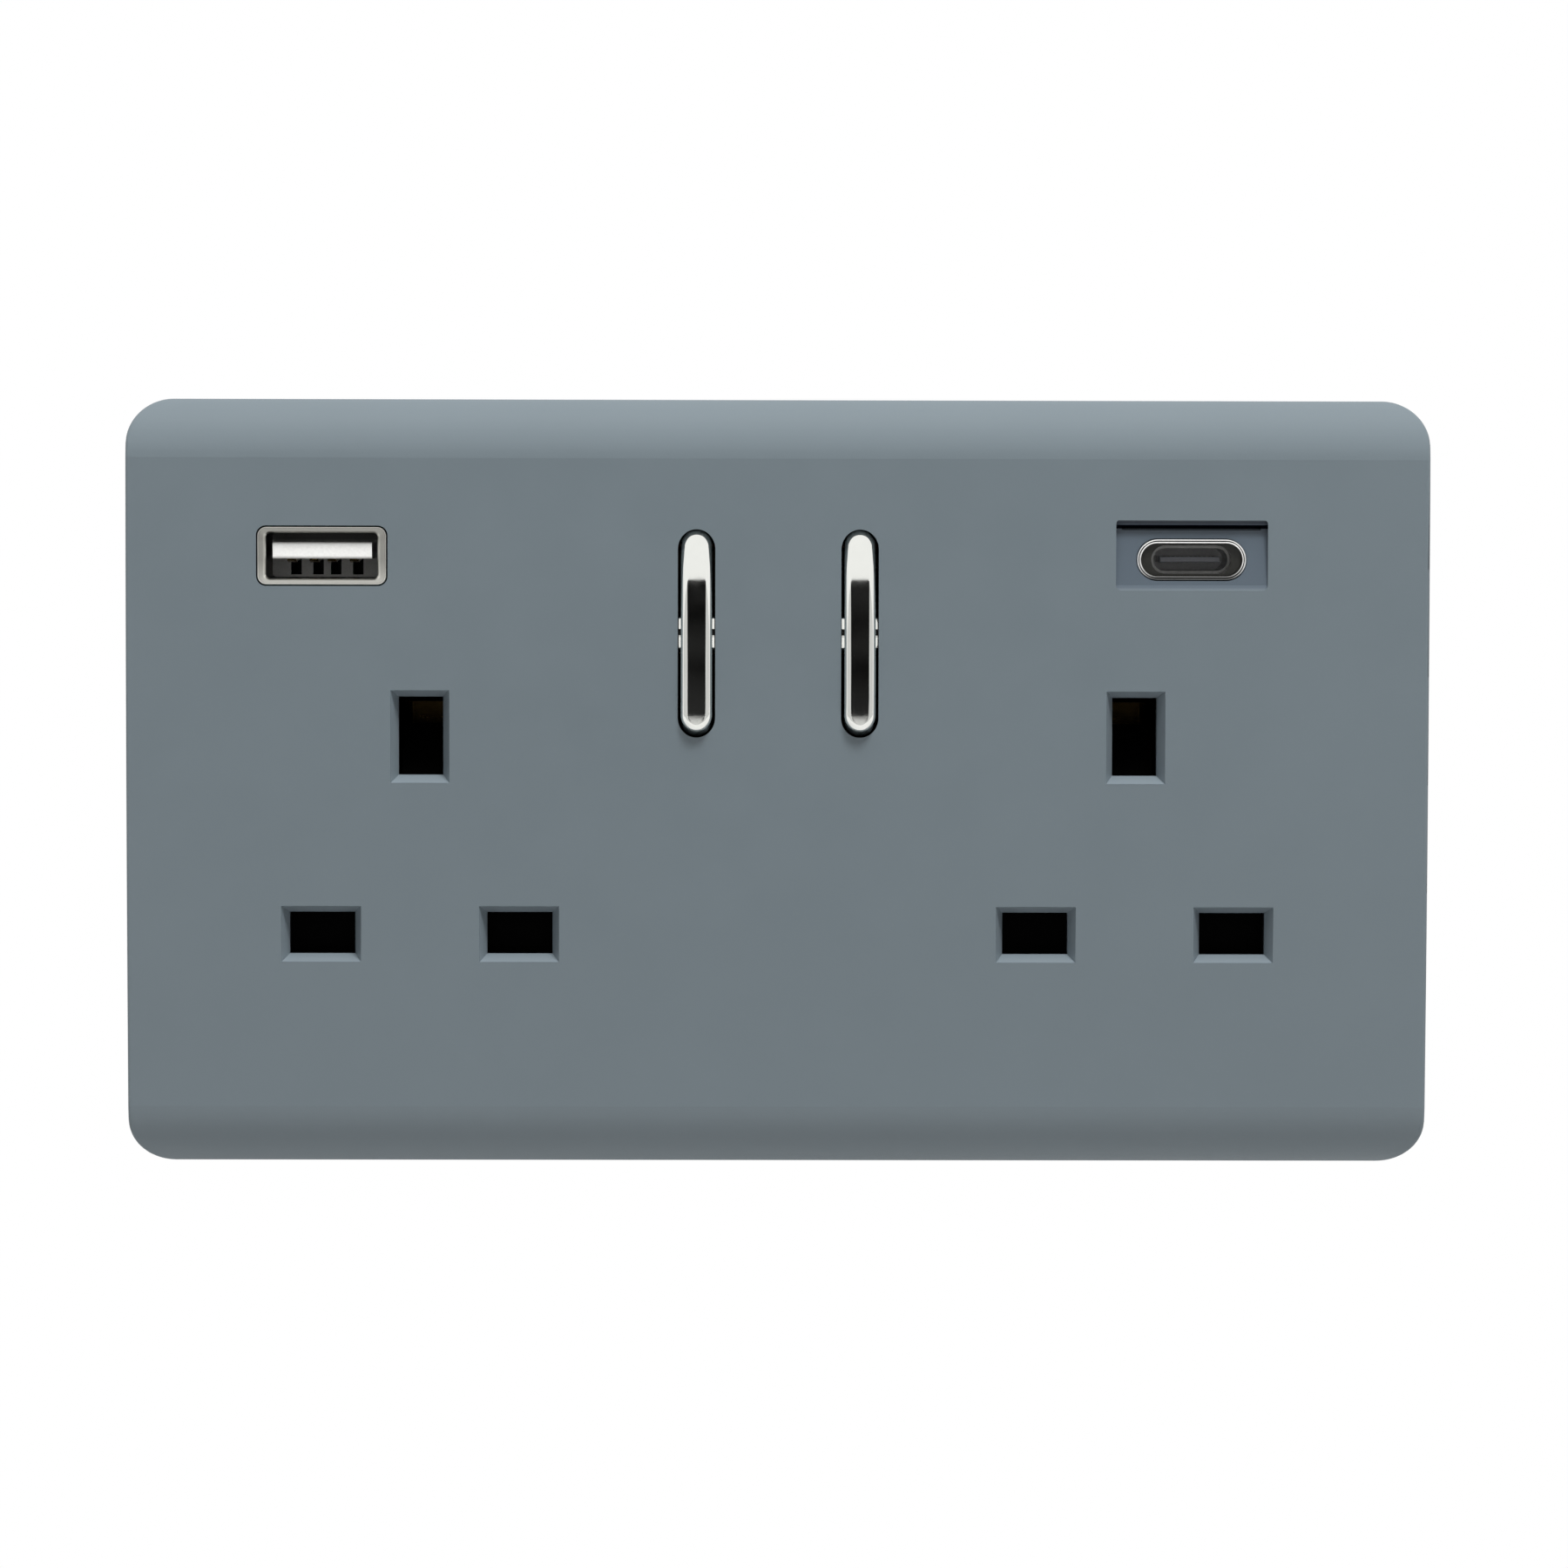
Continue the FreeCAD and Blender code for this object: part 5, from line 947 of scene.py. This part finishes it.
class SOCKET_OT_ports(bpy.types.Operator):
    """Finish the two charging ports"""
    bl_idname = "wall_socket.ports"
    bl_label = "Charging ports"

    def execute(self, context):
        look = context.scene.socket_ports
        low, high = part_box("usb_a_sleeve")
        middle = (low + high) / 2
        # Painted shade: near black behind the front, darker along the lip's middle and at the top; painted
        # light: paler on the lower part.
        nickel = finish("port_nickel", lipped_skin, {
            "Colour": look.nickel, "Deep Colour": linear(20, 19, 17), "Front": low.y,
            "Reach": look.lip_depth, "Grain Size": 0.00012, "Grain Height": 0.0000002, "Smooth": 0.34,
            "Dull": 0.46, "Lip Middle": middle, "Lip Half": high - middle, "Lip Round": 1.0 * MM,
            "Lip Width": 0.85 * MM, "Lip Slope": look.lip_slope, "Low Painted Light": 1.45, "High Painted Shade": 0.92,
        }, 1.0)
        # Painted shade: near black behind the block's front, and darker above the tongue.
        white = finish("port_white", lipped_skin, {
            "Colour": look.white, "Deep Colour": linear(4, 4, 4), "Front": BLOCK_FRONT, "Reach": 0.5 * MM,
            "Smooth": 0.3, "Dull": 0.45, "Lip Middle": middle, "Lip Half": high - middle,
            "Lip Slope": 0.0, "Lip Painted Shade": 1.0, "High Painted Shade": 0.3,
        }, specular=0.2)
        # Painted shade: the contacts turn darker behind the port's front.
        gold = finish("port_gold", deep_skin, {
            "Colour": linear(206, 170, 98), "Deep Colour": linear(110, 84, 44), "Front": low.y,
            "Reach": 2.5 * MM, "Smooth": 0.16, "Dull": 0.28,
        }, 1.0)
        clad(nickel, "usb_a_sleeve")
        clad(white, "usb_a_insulator")
        clad(gold, "usb_a_contacts")

        low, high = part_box("usb_c_trim")
        middle = (low + high) / 2
        # Painted reflection and shade: darker behind the front, dark on the lower part, and a little darker
        # along the middle of the lip.
        trim = finish("trim_chrome", lipped_skin, {
            "Colour": linear(250, 250, 248), "Deep Colour": linear(186, 186, 182), "Front": low.y,
            "Reach": 1.2 * MM, "Grain Height": 0.0000001, "Smooth": 0.05, "Dull": 0.1,
            "Lip Middle": middle, "Lip Half": high - middle, "Lip Round": high.z - middle.z,
            "Lip Width": 0.55 * MM, "Lip Slope": -0.8, "Lip Painted Shade": 0.95, "Low Painted Light": 0.14,
        }, 1.0)
        clad(trim, "usb_c_trim")
        # Painted light: the small port's sleeve, insert and tongue turn paler behind their fronts, where the
        # cavity gets hardly any light.
        sleeve = linear(150, 150, 148)
        for name, node, colour, deep, reach, dull, metallic in (
            ("port_dark_nickel", "usb_c_sleeve", sleeve, (200, 201, 202), look.lip_depth, 0.45, 1.0),
            ("port_black", "usb_c_insert", look.dark, (150, 150, 150), 1.0 * MM, 0.42, 0.0),
            ("port_tongue", "usb_c_tongue", look.tongue, (240, 240, 240), 2.0 * MM, 0.42, 0.0),
        ):
            inner = finish(name, deep_skin, {
                "Colour": colour, "Deep Colour": linear(*deep), "Front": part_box(node)[0].y, "Reach": reach,
                "Smooth": 0.3, "Dull": dull,
            }, metallic)
            clad(inner, node)

        low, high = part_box("usb_c_tongue")
        middle = ((low.x + high.x) / 2, low.y + PAD_SETBACK + PAD_LENGTH / 2, (low.z + high.z) / 2)
        pads = grown("small_port_pads", [middle], contact_pad_tree(), {
            "Count": look.pad_count, "Pitch": look.pad_pitch, "Width": PAD_WIDTH, "Length": PAD_LENGTH,
            "Height": PAD_HEIGHT, "Material": gold,
        })
        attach(pads, "socket")
        return {"FINISHED"}


class SOCKET_OT_charger(bpy.types.Operator):
    """Finish the charger's board and the parts on it"""
    bl_idname = "wall_socket.charger"
    bl_label = "Charger board"

    def execute(self, context):
        board = finish("board_green", masked_board, {
            "Lacquer": linear(24, 78, 50), "Track": linear(46, 112, 74),
        })
        ferrite = finish("ferrite", moulded_skin, {
            "Colour": linear(58, 59, 62), "Mottle": 0.12, "Mottle Size": 0.0012, "Grain Size": 0.0002,
            "Grain Height": 0.00001, "Smooth": 0.4, "Dull": 0.6,
        })
        tape = finish("winding_tape", wound_turns, {
            "Ridge": linear(224, 186, 58), "Groove": linear(198, 154, 40), "Along": (1, 0, 0),
            "Turn": 0.0021, "Height": 0.00003,
        })
        can = finish("can_aluminium", rolled_metal, {
            "Colour": linear(206, 208, 212), "Tarnish": linear(160, 162, 166), "Streak Size": 0.0003,
            "Streak Pull": (1, 0.1, 1), "Smooth": 0.2, "Dull": 0.34,
        }, 1.0)
        wire = finish("coil_copper", plated_skin, {
            "Colour": linear(196, 104, 60), "Ripple Size": 0.0006, "Smooth": 0.2, "Dull": 0.34,
        }, 1.0)
        chip = finish("chip_black", moulded_skin, {
            "Colour": linear(30, 30, 32), "Mottle": 0.03, "Grain Size": 0.0001, "Smooth": 0.5, "Dull": 0.6,
        })
        clad(board, "usb_board")
        clad(ferrite, "transformer_core", "filter_coil")
        clad(tape, "transformer_winding")
        clad(can, "capacitors")
        clad(chip, "control_chips")

        low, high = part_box("coil_wire")
        middle = ((low.x + high.x) / 2, high.y, (low.z + high.z) / 2)
        coil = grown("coil_turns", [middle], wound_coil_tree(), {
            "Outer Radius": (high.x - low.x) / 2, "Wire Radius": COIL_WIRE_RADIUS,
            "Length": high.y - low.y, "Material": wire,
        })
        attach(coil, "socket")
        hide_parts("coil_wire")
        return {"FINISHED"}


def seen_directly(tree):
    """1 where the lens, shiny metal or glass looks, and 0 for soft light."""
    path = place(tree, "ShaderNodeLightPath")
    seen = arithmetic(tree, "MAXIMUM", path.outputs["Is Camera Ray"], path.outputs["Is Glossy Ray"])
    return arithmetic(tree, "MAXIMUM", seen, path.outputs["Is Transmission Ray"])


def white_ground(stage):
    """A white ground that holds the shadow near the object and fades to plain white further out."""
    material, tree, shader = new_material("studio_white")
    seen = seen_directly(tree)
    shade = spread(tree, seen, stage.floor_bounce, stage.floor_white, 0.0, 1.0)
    feed_all(tree, shader, {"Base Color": grey(tree, shade), "Roughness": 0.8, SPECULAR: 0.0})
    distance = place(tree, "ShaderNodeVectorMath", operation="LENGTH")
    feed(tree, distance.inputs[0], here(tree))
    far = spread(tree, distance.outputs["Value"], 0.0, 1.0, *GROUND_FADE)
    glow = place(tree, "ShaderNodeEmission")
    glow.inputs["Color"].default_value = (1, 1, 1, 1)
    mixed = place(tree, "ShaderNodeMixShader")
    for socket, source in zip(mixed.inputs, (times(tree, far, seen), shader.outputs[0], glow.outputs[0])):
        feed(tree, socket, source)
    feed(tree, tree.nodes["Material Output"].inputs["Surface"], mixed.outputs[0])
    return material


def flat_piece(name, corners, material):
    mesh = bpy.data.meshes.new(name)
    mesh.from_pydata(corners, [], [tuple(range(len(corners)))])
    mesh.materials.append(material)
    piece = bpy.data.objects.new(name, mesh)
    bpy.context.scene.collection.objects.link(piece)
    return piece


def reflector(name, y, outline, low, high):
    """An upright card that only shiny surfaces see, unevenly lit as a room is."""
    material, tree, shader = new_material(name)
    shade = spread(tree, noise(tree, here(tree), 7.0, 1.0), low, high)
    feed_all(tree, shader, {
        "Base Color": (0, 0, 0, 1), SPECULAR: 0.0, "Emission Color": grey(tree, shade),
        "Emission Strength": 1.0,
    })
    card = flat_piece(name, [(x, y, z) for x, z in outline], material)
    card.visible_camera = False
    card.visible_diffuse = False
    card.visible_shadow = False
    card.visible_transmission = False


def softbox(name, location, size, power):
    """A lamp that faces the plate and that shiny surfaces don't show."""
    lamp = bpy.data.lights.new(name, "AREA")
    lamp.shape = "RECTANGLE"
    lamp.size, lamp.size_y = size
    lamp.energy = power
    box = bpy.data.objects.new(name, lamp)
    box.location = location
    box.rotation_euler = (Vector(location) - PLATE_MIDDLE).to_track_quat("Z", "Y").to_euler()
    box.visible_glossy = False
    bpy.context.scene.collection.objects.link(box)


class SOCKET_OT_stage(bpy.types.Operator):
    """Set the camera, the lamps, the floor and the cards"""
    bl_idname = "wall_socket.stage"
    bl_label = "Studio"

    def execute(self, context):
        scene = context.scene
        stage = scene.socket_stage
        scene.view_settings.view_transform = "Standard"
        rise, side = stage.camera_rise, stage.camera_side
        away = Vector((-math.sin(side) * math.cos(rise), -math.cos(side) * math.cos(rise), math.sin(rise)))
        camera = bpy.data.objects.new("camera", bpy.data.cameras.new("camera"))
        camera.data.lens = stage.lens
        camera.data.sensor_width = 36.0
        camera.data.shift_x = stage.shift_x
        camera.data.shift_y = stage.shift_y
        camera.data.clip_start = 0.01
        camera.location = PLATE_MIDDLE + away * stage.camera_distance
        facing = (-away).to_track_quat("-Z", "Y").to_matrix()
        camera.rotation_euler = (facing @ Matrix.Rotation(stage.camera_roll, 3, "Z")).to_euler()
        scene.collection.objects.link(camera)
        scene.camera = camera

        far, low = GROUND_HALF, -stage.floor_drop
        corners = [(-far, -far, low), (far, -far, low), (far, far, low), (-far, far, low)]
        flat_piece("floor", corners, white_ground(stage))
        room = [(-far, ROOM_CARD_FOOT), (far, ROOM_CARD_FOOT), (far, CARD_TOP), (-far, CARD_TOP)]
        reflector("front_card", FRONT_CARD_Y, FRONT_CARD, 0.002, 0.02)
        reflector("room_card", ROOM_CARD_Y, room, 0.58, 0.76)
        softbox("overhead", (0.05, -0.2, 0.9), (0.9, 0.5), stage.overhead)
        softbox("front_light", (0.2, -0.56, 1.0), (0.28, 0.28), stage.key)

        world = bpy.data.worlds.new("room")
        scene.world = world
        world.use_nodes = True
        tree = world.node_tree
        tree.nodes.clear()
        sky = place(tree, "ShaderNodeBackground")
        strength = spread(tree, seen_directly(tree), stage.ambient, 1.0, 0.0, 1.0)
        feed_all(tree, sky, {"Strength": strength, "Color": (1, 1, 1, 1)})
        feed(tree, place(tree, "ShaderNodeOutputWorld").inputs["Surface"], sky.outputs[0])
        return {"FINISHED"}


class SOCKET_PT_panel(bpy.types.Panel):
    """Shows a button for each finishing step, with the settings it takes."""
    bl_label = "Wall socket"
    bl_space_type = "VIEW_3D"
    bl_region_type = "UI"
    bl_category = "Wall socket"

    def draw(self, context):
        for operator, group in STEPS:
            self.layout.operator(operator.bl_idname)
            if group:
                settings = getattr(context.scene, group)
                for key in settings.__annotations__:
                    self.layout.prop(settings, key)


STEPS = (
    (SOCKET_OT_plate, "socket_plate"),
    (SOCKET_OT_rockers, "socket_rockers"),
    (SOCKET_OT_mouldings, None),
    (SOCKET_OT_metalwork, None),
    (SOCKET_OT_fasteners, "socket_fasteners"),
    (SOCKET_OT_ports, "socket_ports"),
    (SOCKET_OT_charger, None),
    (SOCKET_OT_stage, "socket_stage"),
)
SETTINGS = {
    "socket_plate": PlateSettings,
    "socket_rockers": RockerSettings,
    "socket_fasteners": FastenerSettings,
    "socket_ports": PortSettings,
    "socket_stage": StageSettings,
}


def register():
    for name, group in SETTINGS.items():
        bpy.utils.register_class(group)
        setattr(bpy.types.Scene, name, PointerProperty(type=group))
    for operator, group in STEPS:
        bpy.utils.register_class(operator)
    bpy.utils.register_class(SOCKET_PT_panel)


def unregister():
    bpy.utils.unregister_class(SOCKET_PT_panel)
    for operator, group in STEPS:
        bpy.utils.unregister_class(operator)
    for name, group in SETTINGS.items():
        delattr(bpy.types.Scene, name)
        bpy.utils.unregister_class(group)


def main():
    register()
    for operator, group in STEPS:
        section, action = operator.bl_idname.split(".")
        getattr(getattr(bpy.ops, section), action)()


if __name__ == "__main__":
    main()
